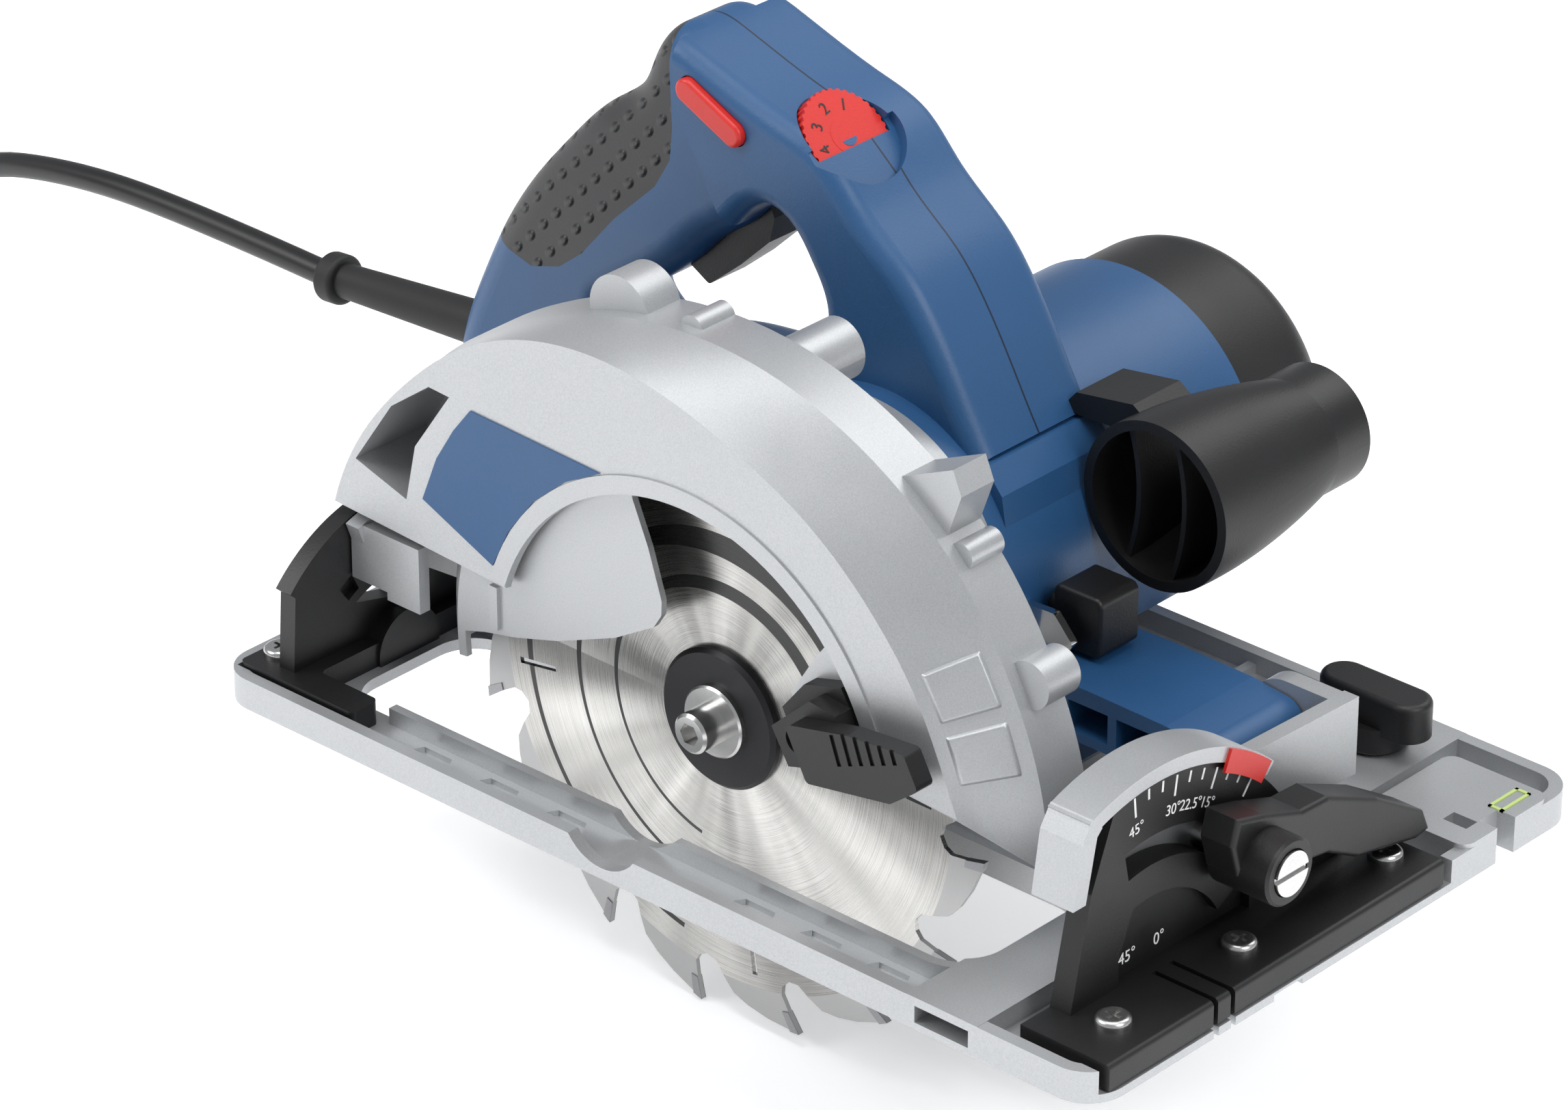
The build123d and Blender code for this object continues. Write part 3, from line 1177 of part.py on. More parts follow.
def coil_centre():
    a, b = Vector(*cord_route[-2]), Vector(*cord_route[-1])
    along = Vector(b.X - a.X, b.Y - a.Y, 0).normalized()
    outer = coil_mid_d / 2 + (coil_columns - 1) / 2 * cable_d
    return b.X + along.Y * outer, b.Y - along.X * outer


def cord_coil():
    x, y = coil_centre()
    reach = coil_columns / 2 * cable_d
    ring = Pos(x, y) * (Circle(coil_mid_d / 2 + reach) - Circle(coil_mid_d / 2 - reach))
    return slab_z(ring, floor_z, floor_z + coil_rows * cable_d)


def plug():
    """Moulded two-pin mains plug that lies on the coil."""
    cx, cy = coil_centre()
    x = cx + coil_mid_d / 2 - (coil_columns - 1) / 2 * cable_d
    z = floor_z + coil_rows * cable_d + plug_height / 2
    across = Plane((x, cy - plug_tail, z), x_dir=(1, 0, 0), z_dir=(0, -1, 0))
    body = extrude(across * RectangleRounded(plug_width, plug_height, 7), amount=plug_length)
    body = fillet(body.edges().group_by(Axis.Y)[-1], 5)
    tail_start = Plane((x, cy, z), x_dir=(1, 0, 0), z_dir=(0, -1, 0))
    body += loft([tail_start * Circle(cable_d / 2 + 1), across * Circle(cable_d / 2 + 4)])
    face = cy - plug_tail - plug_length
    pins = []
    for side in (-1, 1):
        px = x + side * pin_spacing / 2
        pins.append(fillet(rod_y(px, z, pin_d / 2, face - pin_length, face).edges().group_by(Axis.Y)[0], 1.6))
    return body, group(pins)


def export():
    for name, shape in parts.items():
        export_step(shape, f"parts/{name}.step")
        print(name, len(shape.solids()), round(shape.volume))


def base_parts():
    keep("base_plate", base_plate())
    keep("front_quadrant", front_quadrant())
    keep("rear_quadrant", rear_quadrant())
    keep("quadrant_screws", group(pan_screw(x, y, quadrant_block_top) for x, y in quadrant_screw_places))
    screw, knob = fence_parts()
    keep("fence_screw", screw)
    keep("fence_knob", knob)


def frame_parts():
    keep("front_bracket", front_bracket())
    keep("bevel_pointer", bevel_pointer())
    keep("rear_bracket", rear_bracket())
    keep("depth_guide", depth_guide())
    keep("depth_pivot_pin", depth_pivot_pin())
    keep("bevel_bolt", bevel_bolt())
    keep("bevel_lever", bevel_lever())
    keep("rear_bevel_bolt", rear_bevel_bolt())


def guard_parts():
    keep("upper_guard", upper_guard())
    keep("guard_label_panel", label_panel())
    keep("lower_guard", lower_guard())
    keep("guard_lever", guard_lever())
    keep("guard_lever_screw", guard_lever_screw())
    keep("retaining_ring", retaining_ring())
    lever, bolt = depth_clamp()
    keep("depth_clamp_lever", lever)
    keep("depth_clamp_bolt", bolt)


def blade_parts():
    steel, tips = blade_and_tips()
    washer, bolt = washer_and_bolt()
    keep("saw_blade", steel)
    keep("carbide_tips", tips)
    keep("spindle", spindle())
    keep("inner_flange", inner_flange())
    keep("clamp_flange", clamp_flange())
    keep("blade_washer", washer)
    keep("blade_bolt", bolt)


def motor_parts():
    wheel, pinion = gears()
    shaft, armature, commutator, fan = rotor_parts()
    holders, carbons = brushes()
    keep("spur_gear", wheel)
    keep("pinion", pinion)
    keep("rotor_shaft", shaft)
    keep("armature", armature)
    keep("commutator", commutator)
    keep("fan", fan)
    keep("spindle_bearings", group([ball_bearing(arbor_x, arbor_z, spindle_d, spindle_bearing),
                                    ball_bearing(arbor_x, arbor_z, spindle_tail_d, spindle_tail_bearing)]))
    keep("rotor_bearings", group([ball_bearing(rotor_x, rotor_z, bearing_shaft_d, rotor_bearing),
                                  ball_bearing(rotor_x, rotor_z, tail_shaft_d, rotor_tail_bearing)]))
    keep("gear_housing", gear_housing())
    keep("motor_housing", motor_housing())
    keep("pivot_arm", pivot_arm())
    keep("motor_end_cap", motor_end_cap())
    keep("stator", stator())
    keep("brush_holders", holders)
    keep("carbon_brushes", carbons)


def handle_and_controls():
    drum = rod_y(rotor_x, rotor_z, motor_r, housing_split, motor_end)
    nozzle = dust_nozzle(parts["motor_housing"])
    left, right, grip = handle_parts([drum, motor_nose(), nozzle])
    keep("handle_shell_left", left)
    keep("handle_shell_right", right)
    keep("rear_grip", grip)
    keep("handle_screws", handle_screws())
    keep("trigger", trigger())
    keep("lock_button", lock_button())
    keep("speed_dial", speed_dial())
    keep("switch_module", switch_module())
    keep("spindle_lock", spindle_lock())
    keep("spindle_lock_strap", spindle_lock_strap())
    keep("dust_nozzle", nozzle)


def cable_parts():
    body, pins = plug()
    keep("strain_relief", strain_relief())
    keep("cord_tube", cord_tube())
    keep("cord_coil", cord_coil())
    keep("plug_body", body)
    keep("plug_pins", pins)


def main():
    base_parts()
    frame_parts()
    guard_parts()
    blade_parts()
    motor_parts()
    handle_and_controls()
    cable_parts()
    export()


main()
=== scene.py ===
import bpy
import bmesh
from math import radians, sin, cos, pi, atan2
from mathutils import Vector, Matrix, Euler


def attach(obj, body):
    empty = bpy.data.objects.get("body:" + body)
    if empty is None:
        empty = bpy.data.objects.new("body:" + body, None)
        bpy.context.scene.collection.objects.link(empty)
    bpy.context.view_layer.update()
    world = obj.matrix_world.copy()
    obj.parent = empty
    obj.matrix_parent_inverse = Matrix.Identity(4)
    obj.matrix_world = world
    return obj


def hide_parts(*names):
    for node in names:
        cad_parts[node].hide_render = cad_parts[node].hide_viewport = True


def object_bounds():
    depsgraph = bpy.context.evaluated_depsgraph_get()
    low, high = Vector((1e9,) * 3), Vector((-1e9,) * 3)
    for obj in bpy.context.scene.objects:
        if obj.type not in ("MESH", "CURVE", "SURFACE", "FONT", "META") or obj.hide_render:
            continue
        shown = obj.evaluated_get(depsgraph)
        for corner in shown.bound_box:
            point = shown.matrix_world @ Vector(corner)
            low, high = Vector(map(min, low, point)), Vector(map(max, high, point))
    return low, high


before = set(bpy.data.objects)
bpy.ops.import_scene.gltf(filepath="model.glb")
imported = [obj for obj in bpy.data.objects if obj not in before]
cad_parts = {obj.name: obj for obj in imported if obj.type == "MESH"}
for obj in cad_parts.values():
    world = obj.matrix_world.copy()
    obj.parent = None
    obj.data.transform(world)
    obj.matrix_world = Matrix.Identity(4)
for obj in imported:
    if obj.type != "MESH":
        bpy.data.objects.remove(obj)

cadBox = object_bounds()
mm = 0.001
arbor = {"x": -11.5, "z": 30.0}      # middle of the blade seen from its side, mm
print("frame loaded:", len(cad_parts), "nodes")

# camera, as the saw is looked at from the front corner of the blade side
view = {
    "place": (1.07851, -1.22326, 0.93178),
    "turn": (61.94, 0.0, 42.42),
    "lens": 153.93,
    "sensor": 36.0,
}


def makeCamera():
    data = bpy.data.cameras.new("viewCamera")
    data.lens = view["lens"]
    data.sensor_width = view["sensor"]
    data.clip_end = 30.0
    camera = bpy.data.objects.new("viewCamera", data)
    camera.location = view["place"]
    camera.rotation_euler = [radians(a) for a in view["turn"]]
    bpy.context.scene.collection.objects.link(camera)
    bpy.context.scene.camera = camera


makeCamera()

# mains cable: free run, then turns of a storage coil
cable = {
    "diameter": 8.0 * mm,
    "route": [(-250, 28, 57), (-306, 28, 58.5), (-364, 29, 55.5), (-418, 32, 42), (-454, 35, 8),
              (-482, 38, -27), (-518, 41, -50), (-556, 42.5, -59.8), (-596, 43, -61)],
    "columns": 4,
    "rows": 3,
    "rowStep": 8.4,
    "coilMid": 48.0,          # middle of the coil's band, from its centre
    "coilGrow": 1.0097,       # the spline cuts inside its points by this much
    "lastClimb": 23.0,        # rise of the last turn, up to the plug
    "plugHeight": -28.0,
    "pointsPerTurn": 16,
    "lastTurn": 11.743,
    "length": 3.86,
    "pointRadius": 0.02,      # small, because Blender pads a curve's box by it
}


def coilPlace(turn, centre, outer, startAngle, floorZ):
    # place on the coil after so many turns, wound inward on even rows and outward on odd ones
    gaps = cable["columns"] - 1
    inner = outer - gaps * cable["diameter"] / mm
    row = min(int(turn // cable["columns"]), cable["rows"] - 1)
    inRow = turn - row * cable["columns"]
    share = min(inRow / gaps, 1.0)
    radius = outer - share * (outer - inner) if row % 2 == 0 else inner + share * (outer - inner)
    radius *= cable["coilGrow"]
    lastRow = row == cable["rows"] - 1
    climb = max(0.0, inRow - gaps) * (cable["lastClimb"] if lastRow else cable["rowStep"])
    height = min(floorZ + row * cable["rowStep"] + climb, cable["plugHeight"])
    angle = startAngle - 2 * pi * turn
    return (centre[0] + radius * cos(angle), centre[1] + radius * sin(angle), height)


def cablePoints():
    route = [Vector(p) for p in cable["route"]]
    along = (route[-1] - route[-2]).to_2d().normalized()
    outer = cable["coilMid"] + (cable["columns"] - 1) / 2 * cable["diameter"] / mm
    end = route[-1]
    centre = (end.x + along.y * outer, end.y - along.x * outer)
    startAngle = atan2(end.y - centre[1], end.x - centre[0])
    points = [tuple(p) for p in route]
    count = int(cable["lastTurn"] * cable["pointsPerTurn"])
    for k in range(1, count + 1):
        points.append(coilPlace(cable["lastTurn"] * k / count, centre, outer, startAngle, end.z))
    return [Vector(p) * mm for p in points]


def makeCable():
    curve = bpy.data.curves.new("mainsCable", "CURVE")
    curve.dimensions = "3D"
    curve.bevel_depth = cable["diameter"] / 2 / cable["pointRadius"]
    curve.bevel_resolution = 5
    curve.resolution_u = 8
    curve.use_fill_caps = True
    spline = curve.splines.new("NURBS")
    points = cablePoints()
    spline.points.add(len(points) - 1)
    for spot, place in zip(spline.points, points):
        spot.co = (*place, 1.0)
        spot.radius = cable["pointRadius"]
    spline.order_u = 3
    spline.use_endpoint_u = True
    piece = bpy.data.objects.new("mainsCable", curve)
    bpy.context.scene.collection.objects.link(piece)
    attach(piece, "saw_body")
    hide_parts("cord_tube", "cord_coil")
    return piece


cablePiece = makeCable()
print("cable laid")


# shader groups, each made once
def newGroup(name, inputs, outputs):
    group = bpy.data.node_groups.new(name, "ShaderNodeTree")
    for label, kind, value in inputs:
        socket = group.interface.new_socket(name=label, in_out="INPUT", socket_type=kind)
        socket.default_value = value
    for label, kind in outputs:
        group.interface.new_socket(name=label, in_out="OUTPUT", socket_type=kind)
    return group, group.nodes.new("NodeGroupInput"), group.nodes.new("NodeGroupOutput")


def put(tree, kind, **settings):
    node = tree.nodes.new(kind)
    for key, value in settings.items():
        if key.startswith("in_"):
            node.inputs[int(key[3:])].default_value = value
        else:
            setattr(node, key, value)
    return node


def mathNode(tree, operation, first, second=None, clamp=False):
    node = put(tree, "ShaderNodeMath", operation=operation, use_clamp=clamp)
    for slot, value in enumerate((first, second)):
        if value is None:
            continue
        if isinstance(value, (int, float)):
            node.inputs[slot].default_value = value
        else:
            tree.links.new(value, node.inputs[slot])
    return node.outputs[0]


def makeGrainGroup():
    # moulded or blasted surface: fine grain as height, slow clouds as colour and roughness change
    inputs = [("Color", "NodeSocketColor", (0.5, 0.5, 0.5, 1)), ("Fine", "NodeSocketFloat", 1200.0),
              ("Speckle", "NodeSocketFloat", 0.1), ("Cloud", "NodeSocketFloat", 0.08),
              ("Rough", "NodeSocketFloat", 0.5)]
    outputs = [("Color", "NodeSocketColor"), ("Rough", "NodeSocketFloat"), ("Height", "NodeSocketFloat")]
    group, into, out = newGroup("surfaceGrain", inputs, outputs)
    link = group.links.new
    coords = put(group, "ShaderNodeTexCoord")
    fine = put(group, "ShaderNodeTexNoise", in_3=2.0)             # input 2 is the scale, 3 the detail
    link(coords.outputs["Object"], fine.inputs["Vector"])
    link(into.outputs["Fine"], fine.inputs["Scale"])
    slow = put(group, "ShaderNodeTexNoise", in_2=18.0, in_3=3.0)
    link(coords.outputs["Object"], slow.inputs["Vector"])
    fineCentred = mathNode(group, "SUBTRACT", fine.outputs[0], 0.5)
    slowCentred = mathNode(group, "SUBTRACT", slow.outputs[0], 0.5)
    change = mathNode(group, "ADD", mathNode(group, "MULTIPLY", fineCentred, into.outputs["Speckle"]),
                      mathNode(group, "MULTIPLY", slowCentred, into.outputs["Cloud"]))
    hue = put(group, "ShaderNodeHueSaturation")
    link(into.outputs["Color"], hue.inputs["Color"])
    bright = mathNode(group, "ADD", mathNode(group, "MULTIPLY", change, 4.0), 1.0)
    link(bright, hue.inputs["Value"])
    link(hue.outputs[0], out.inputs["Color"])
    uneven = mathNode(group, "MULTIPLY", slowCentred, 0.25)
    link(mathNode(group, "ADD", into.outputs["Rough"], uneven, True), out.inputs["Rough"])
    link(fine.outputs[0], out.inputs["Height"])
    return group


grainGroup = makeGrainGroup()


def startMaterial(name):
    material = bpy.data.materials.new(name)
    material.use_nodes = True
    tree = material.node_tree
    shader = tree.nodes["Principled BSDF"]
    return material, tree, shader


def grainMaterial(name, look):
    material, tree, shader = startMaterial(name)
    group = put(tree, "ShaderNodeGroup", node_tree=grainGroup)
    group.inputs["Color"].default_value = (*look["color"], 1)
    for key in ("fine", "speckle", "cloud", "rough"):
        group.inputs[key.capitalize()].default_value = look[key]
    tree.links.new(group.outputs["Color"], shader.inputs["Base Color"])
    tree.links.new(group.outputs["Rough"], shader.inputs["Roughness"])
    shader.inputs["Metallic"].default_value = look["metallic"]
    bump = put(tree, "ShaderNodeBump")
    bump.inputs["Strength"].default_value = look["bump"]
    bump.inputs["Distance"].default_value = 0.2 * mm
    tree.links.new(group.outputs["Height"], bump.inputs["Height"])
    tree.links.new(bump.outputs[0], shader.inputs["Normal"])
    return material


looks = {
    "castAlloy": {"color": (0.47, 0.48, 0.49), "fine": 2600.0, "speckle": 0.10,
                  "cloud": 0.05, "rough": 0.40, "metallic": 0.6, "bump": 0.12},
    "bluePlastic": {"color": (0.019, 0.082, 0.205), "fine": 1900.0, "speckle": 0.05,
                    "cloud": 0.05, "rough": 0.43, "metallic": 0.0, "bump": 0.22},
    "blackPlastic": {"color": (0.006, 0.006, 0.0065), "fine": 1700.0, "speckle": 0.10,
                     "cloud": 0.10, "rough": 0.46, "metallic": 0.0, "bump": 0.25},
    "softRubber": {"color": (0.010, 0.010, 0.0105), "fine": 1500.0, "speckle": 0.10,
                   "cloud": 0.10, "rough": 0.62, "metallic": 0.0, "bump": 0.25},
    "redPlastic": {"color": (0.60, 0.022, 0.016), "fine": 1500.0, "speckle": 0.05,
                   "cloud": 0.06, "rough": 0.38, "metallic": 0.0, "bump": 0.12},
    "zincSteel": {"color": (0.60, 0.60, 0.59), "fine": 2200.0, "speckle": 0.06,
                  "cloud": 0.10, "rough": 0.26, "metallic": 1.0, "bump": 0.05},
    "chromeSteel": {"color": (0.74, 0.74, 0.74), "fine": 1800.0, "speckle": 0.02,
                    "cloud": 0.04, "rough": 0.12, "metallic": 1.0, "bump": 0.02},
    "toolSteel": {"color": (0.36, 0.36, 0.36), "fine": 1800.0, "speckle": 0.08,
                  "cloud": 0.10, "rough": 0.34, "metallic": 1.0, "bump": 0.06},
    "flangeSteel": {"color": (0.022, 0.022, 0.024), "fine": 1800.0, "speckle": 0.10,
                    "cloud": 0.15, "rough": 0.45, "metallic": 0.6, "bump": 0.08},
    "carbide": {"color": (0.30, 0.30, 0.31), "fine": 2400.0, "speckle": 0.12,
                "cloud": 0.10, "rough": 0.36, "metallic": 0.9, "bump": 0.06},
    "copper": {"color": (0.55, 0.25, 0.12), "fine": 1500.0, "speckle": 0.08,
               "cloud": 0.10, "rough": 0.34, "metallic": 1.0, "bump": 0.05},
    "carbon": {"color": (0.03, 0.03, 0.03), "fine": 1500.0, "speckle": 0.12,
               "cloud": 0.10, "rough": 0.70, "metallic": 0.0, "bump": 0.20},
    "cableJacket": {"color": (0.006, 0.006, 0.0065), "fine": 900.0, "speckle": 0.08,
                    "cloud": 0.10, "rough": 0.42, "metallic": 0.0, "bump": 0.10},
    "paleGreen": {"color": (0.52, 0.66, 0.22), "fine": 1500.0, "speckle": 0.03,
                  "cloud": 0.05, "rough": 0.3, "metallic": 0.0, "bump": 0.05},
    "whitePrint": {"color": (0.78, 0.78, 0.78), "fine": 1500.0, "speckle": 0.03,
                   "cloud": 0.03, "rough": 0.5, "metallic": 0.0, "bump": 0.05},
    "darkPrint": {"color": (0.02, 0.02, 0.02), "fine": 1500.0, "speckle": 0.05,
                  "cloud": 0.05, "rough": 0.45, "metallic": 0.0, "bump": 0.05},
}
made = {name: grainMaterial(name, look) for name, look in looks.items()}

blade = {
    "color": (0.60, 0.59, 0.57),
    "rough": 0.24,
    "toothZone": 83.0,        # matt from here to the tips, mm
    "mattColor": (0.42, 0.42, 0.42),
    "ringColor": (0.012, 0.012, 0.012),
    # dark rings: outer radius, width of the thin end, width of the thick end, mm
    "rings": [(41.5, 1.1, 4.6), (56.0, 1.2, 7.6), (75.5, 1.6, 9.0)],
    "thinAt": 205.0,          # degrees round the blade
    "thickAt": 65.0,
    "ringTo": 258.0,
}


def bladeMaterial():
    # ground in circles, with painted highlight fans, dark rings and a matt tooth zone
    material, tree, shader = startMaterial("sawSteel")
    link = tree.links.new
    coords = put(tree, "ShaderNodeTexCoord")
    split = put(tree, "ShaderNodeSeparateXYZ")
    link(coords.outputs["Object"], split.inputs[0])
    x = mathNode(tree, "SUBTRACT", split.outputs[0], arbor["x"] * mm)
    z = mathNode(tree, "SUBTRACT", split.outputs[2], arbor["z"] * mm)
    squares = mathNode(tree, "ADD", mathNode(tree, "MULTIPLY", x, x), mathNode(tree, "MULTIPLY", z, z))
    radius = mathNode(tree, "MULTIPLY", mathNode(tree, "SQRT", squares), 1 / mm)
    angle = mathNode(tree, "ARCTAN2", z, x)
    # grinding marks: quick along the radius, slow round the circle
    marks = put(tree, "ShaderNodeCombineXYZ")
    link(mathNode(tree, "MULTIPLY", radius, 6.0), marks.inputs[0])
    link(mathNode(tree, "MULTIPLY", angle, 1.6), marks.inputs[1])
    grind = put(tree, "ShaderNodeTexNoise", in_2=1.0, in_3=3.0)
    link(marks.outputs[0], grind.inputs["Vector"])
    # painted highlight: light and dark fans of reflection painted into the ground face's colour
    sheenFans = put(tree, "ShaderNodeCombineXYZ")
    link(mathNode(tree, "MULTIPLY", angle, 2.2), sheenFans.inputs[0])
    link(mathNode(tree, "MULTIPLY", radius, 0.01), sheenFans.inputs[1])
    paintedSheen = put(tree, "ShaderNodeTexNoise", in_2=1.0, in_3=2.0)
    link(sheenFans.outputs[0], paintedSheen.inputs["Vector"])
    # grinding marks mixed with the painted highlight fans, which then scale the blade colour
    shade = mathNode(tree, "ADD", mathNode(tree, "MULTIPLY", grind.outputs[0], 0.30),
                     mathNode(tree, "MULTIPLY", paintedSheen.outputs[0], 0.55))
    ramp = put(tree, "ShaderNodeMapRange")
    for end, value in (("From Min", 0.34), ("From Max", 0.56), ("To Min", 0.42), ("To Max", 1.15)):
        ramp.inputs[end].default_value = value
    link(shade, ramp.inputs["Value"])
    tint = put(tree, "ShaderNodeMix", data_type="RGBA", blend_type="MULTIPLY")
    tint.inputs["Factor"].default_value = 1.0
    tint.inputs["A"].default_value = (*blade["color"], 1)
    link(ramp.outputs[0], tint.inputs["B"])
    # dark crescents, thick above the arbor and thin below it
    signed = mathNode(tree, "MULTIPLY", angle, 180 / pi)
    degreesRound = mathNode(tree, "MODULO", mathNode(tree, "ADD", signed, 360.0), 360.0)
    inside = mathNode(tree, "LESS_THAN", degreesRound, blade["ringTo"])
    swell = put(tree, "ShaderNodeMapRange", interpolation_type="SMOOTHSTEP")
    swell.inputs["From Min"].default_value = blade["thinAt"]
    swell.inputs["From Max"].default_value = blade["thickAt"]
    link(degreesRound, swell.inputs["Value"])
    mask = None
    for outer, thin, thick in blade["rings"]:
        width = mathNode(tree, "ADD", mathNode(tree, "MULTIPLY", swell.outputs[0], thick - thin), thin)
        depth = mathNode(tree, "SUBTRACT", outer, radius)
        near = mathNode(tree, "MULTIPLY", mathNode(tree, "GREATER_THAN", depth, 0.0),
                        mathNode(tree, "LESS_THAN", depth, width))
        mask = near if mask is None else mathNode(tree, "MAXIMUM", mask, near)
    mask = mathNode(tree, "MULTIPLY", mask, inside)
    dark = put(tree, "ShaderNodeMix", data_type="RGBA")
    dark.inputs["B"].default_value = (*blade["ringColor"], 1)
    link(mask, dark.inputs["Factor"])
    link(tint.outputs["Result"], dark.inputs["A"])
    zone = mathNode(tree, "GREATER_THAN", radius, blade["toothZone"])
    matt = put(tree, "ShaderNodeMix", data_type="RGBA")
    matt.inputs["B"].default_value = (*blade["mattColor"], 1)
    link(zone, matt.inputs["Factor"])
    link(dark.outputs["Result"], matt.inputs["A"])
    link(matt.outputs["Result"], shader.inputs["Base Color"])
    rough = mathNode(tree, "ADD", mathNode(tree, "MULTIPLY", grind.outputs[0], 0.18), blade["rough"] - 0.05)
    rough = mathNode(tree, "ADD", rough, mathNode(tree, "MULTIPLY", zone, 0.16), True)
    link(rough, shader.inputs["Roughness"])
    metal = mathNode(tree, "SUBTRACT", 1.0, mask)
    link(metal, shader.inputs["Metallic"])
    bump = put(tree, "ShaderNodeBump")
    bump.inputs["Strength"].default_value = 0.10
    bump.inputs["Distance"].default_value = 0.1 * mm
    link(grind.outputs[0], bump.inputs["Height"])
    link(bump.outputs[0], shader.inputs["Normal"])
    return material


grip = {
    "pitch": 7.4,             # mm between the nubs
    "height": 1.2 * mm,
    "slope": 45.0,            # the rows lie along the handle
    "look": {"color": (0.030, 0.030, 0.031), "fine": 1500.0, "speckle": 0.08, "cloud": 0.10, "rough": 0.48,
             "metallic": 0.0, "bump": 0.25},
}


def gripMaterial():
    # soft grip with staggered oval nubs
    material = grainMaterial("gripRubber", grip["look"])
    tree = material.node_tree
    link = tree.links.new
    shader = tree.nodes["Principled BSDF"]
    coords = put(tree, "ShaderNodeTexCoord")
    turnIn = put(tree, "ShaderNodeMapping")
    turnIn.inputs["Rotation"].default_value = (0.0, radians(grip["slope"]), 0.0)
    turnIn.inputs["Scale"].default_value = (1 / mm / grip["pitch"],) * 3
    link(coords.outputs["Object"], turnIn.inputs["Vector"])
    split = put(tree, "ShaderNodeSeparateXYZ")
    link(turnIn.outputs[0], split.inputs[0])
    row = mathNode(tree, "FLOOR", split.outputs[2])
    stagger = mathNode(tree, "MULTIPLY", mathNode(tree, "MODULO", row, 2.0), 0.5)
    along = mathNode(tree, "ADD", split.outputs[0], mathNode(tree, "MULTIPLY", split.outputs[1], 0.8))
    u = mathNode(tree, "SUBTRACT", mathNode(tree, "FRACT", mathNode(tree, "ADD", along, stagger)), 0.5)
    v = mathNode(tree, "SUBTRACT", mathNode(tree, "FRACT", split.outputs[2]), 0.5)
    flattened = mathNode(tree, "MULTIPLY", mathNode(tree, "MULTIPLY", v, v), 2.6)
    spread = mathNode(tree, "SQRT", mathNode(tree, "ADD", mathNode(tree, "MULTIPLY", u, u), flattened))
    nub = put(tree, "ShaderNodeMapRange", interpolation_type="SMOOTHSTEP")
    nub.inputs["From Min"].default_value = 0.36
    nub.inputs["From Max"].default_value = 0.10
    link(spread, nub.inputs["Value"])
    grain = shader.inputs["Normal"].links[0].from_node
    bump = put(tree, "ShaderNodeBump")
    bump.inputs["Strength"].default_value = 0.9
    bump.inputs["Distance"].default_value = grip["height"]
    link(nub.outputs[0], bump.inputs["Height"])
    link(grain.outputs[0], bump.inputs["Normal"])
    link(bump.outputs[0], shader.inputs["Normal"])
    return material


seam = {"y": 28.0 * mm, "half": 0.32 * mm, "color": (0.004, 0.014, 0.035)}


def seamMaterial():
    # moulded halves with a dark joint between them
    material = grainMaterial("seamedBlue", looks["bluePlastic"])
    tree = material.node_tree
    link = tree.links.new
    shader = tree.nodes["Principled BSDF"]
    coords = put(tree, "ShaderNodeTexCoord")
    split = put(tree, "ShaderNodeSeparateXYZ")
    link(coords.outputs["Object"], split.inputs[0])
    away = mathNode(tree, "ABSOLUTE", mathNode(tree, "SUBTRACT", split.outputs[1], seam["y"]))
    mask = mathNode(tree, "LESS_THAN", away, seam["half"])
    dark = put(tree, "ShaderNodeMix", data_type="RGBA")
    dark.inputs["B"].default_value = (*seam["color"], 1)
    link(mask, dark.inputs["Factor"])
    link(shader.inputs["Base Color"].links[0].from_socket, dark.inputs["A"])
    link(dark.outputs["Result"], shader.inputs["Base Color"])
    return material


made["seamedBlue"] = seamMaterial()
made["sawSteel"] = bladeMaterial()
made["gripRubber"] = gripMaterial()
cablePiece.data.materials.append(made["cableJacket"])
print("materials made:", len(made))

# which finish each piece of the frame gets
finishes = {
    "castAlloy": ["base_plate", "front_bracket", "rear_bracket", "upper_guard", "lower_guard",
                  "gear_housing"],
    "blackPlastic": ["front_quadrant", "rear_quadrant", "fence_knob", "bevel_lever", "guard_lever",
                     "motor_end_cap", "dust_nozzle", "spindle_lock", "trigger", "depth_clamp_lever",
                     "brush_holders", "switch_module", "fan", "rear_bevel_bolt"],
    "bluePlastic": ["motor_housing", "pivot_arm", "guard_label_panel"],
    "seamedBlue": ["handle_shell_left", "handle_shell_right"],
    "softRubber": ["strain_relief", "plug_body"],
    "gripRubber": ["rear_grip"],
    "redPlastic": ["bevel_pointer", "lock_button", "speed_dial"],
    "zincSteel": ["quadrant_screws", "fence_screw", "depth_guide", "depth_pivot_pin", "bevel_bolt",
                  "retaining_ring", "blade_washer", "blade_bolt", "handle_screws", "depth_clamp_bolt",
                  "plug_pins"],
    "chromeSteel": ["spindle_lock_strap"],
    "darkPrint": ["guard_lever_screw"],
    "sawSteel": ["saw_blade"],
    "carbide": ["carbide_tips"],
    "flangeSteel": ["clamp_flange"],
    "toolSteel": ["spindle", "inner_flange", "spur_gear", "pinion", "rotor_shaft", "spindle_bearings",
                  "rotor_bearings", "armature", "stator"],
    "copper": ["commutator"],
    "carbon": ["carbon_brushes"],
}
edges = {"width": 0.45 * mm, "fine": 0.2 * mm, "smallPiece": 30.0 * mm, "limit": 38.0}


def finishNode(node, material):
    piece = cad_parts[node]
    piece.data.materials.clear()
    piece.data.materials.append(made[material])
    small = max(piece.dimensions) < edges["smallPiece"]
    soften = piece.modifiers.new("softEdges", "BEVEL")
    soften.width = edges["fine"] if small else edges["width"]
    soften.segments = 2
    soften.limit_method = "ANGLE"
    soften.angle_limit = radians(edges["limit"])
    soften.harden_normals = True


for finish, nodes in finishes.items():
    for node in nodes:
        finishNode(node, finish)
print("frame pieces finished")


def meshFrom(bm, name):
    mesh = bpy.data.meshes.new(name)
    bm.to_mesh(mesh)
    bm.free()
    return mesh


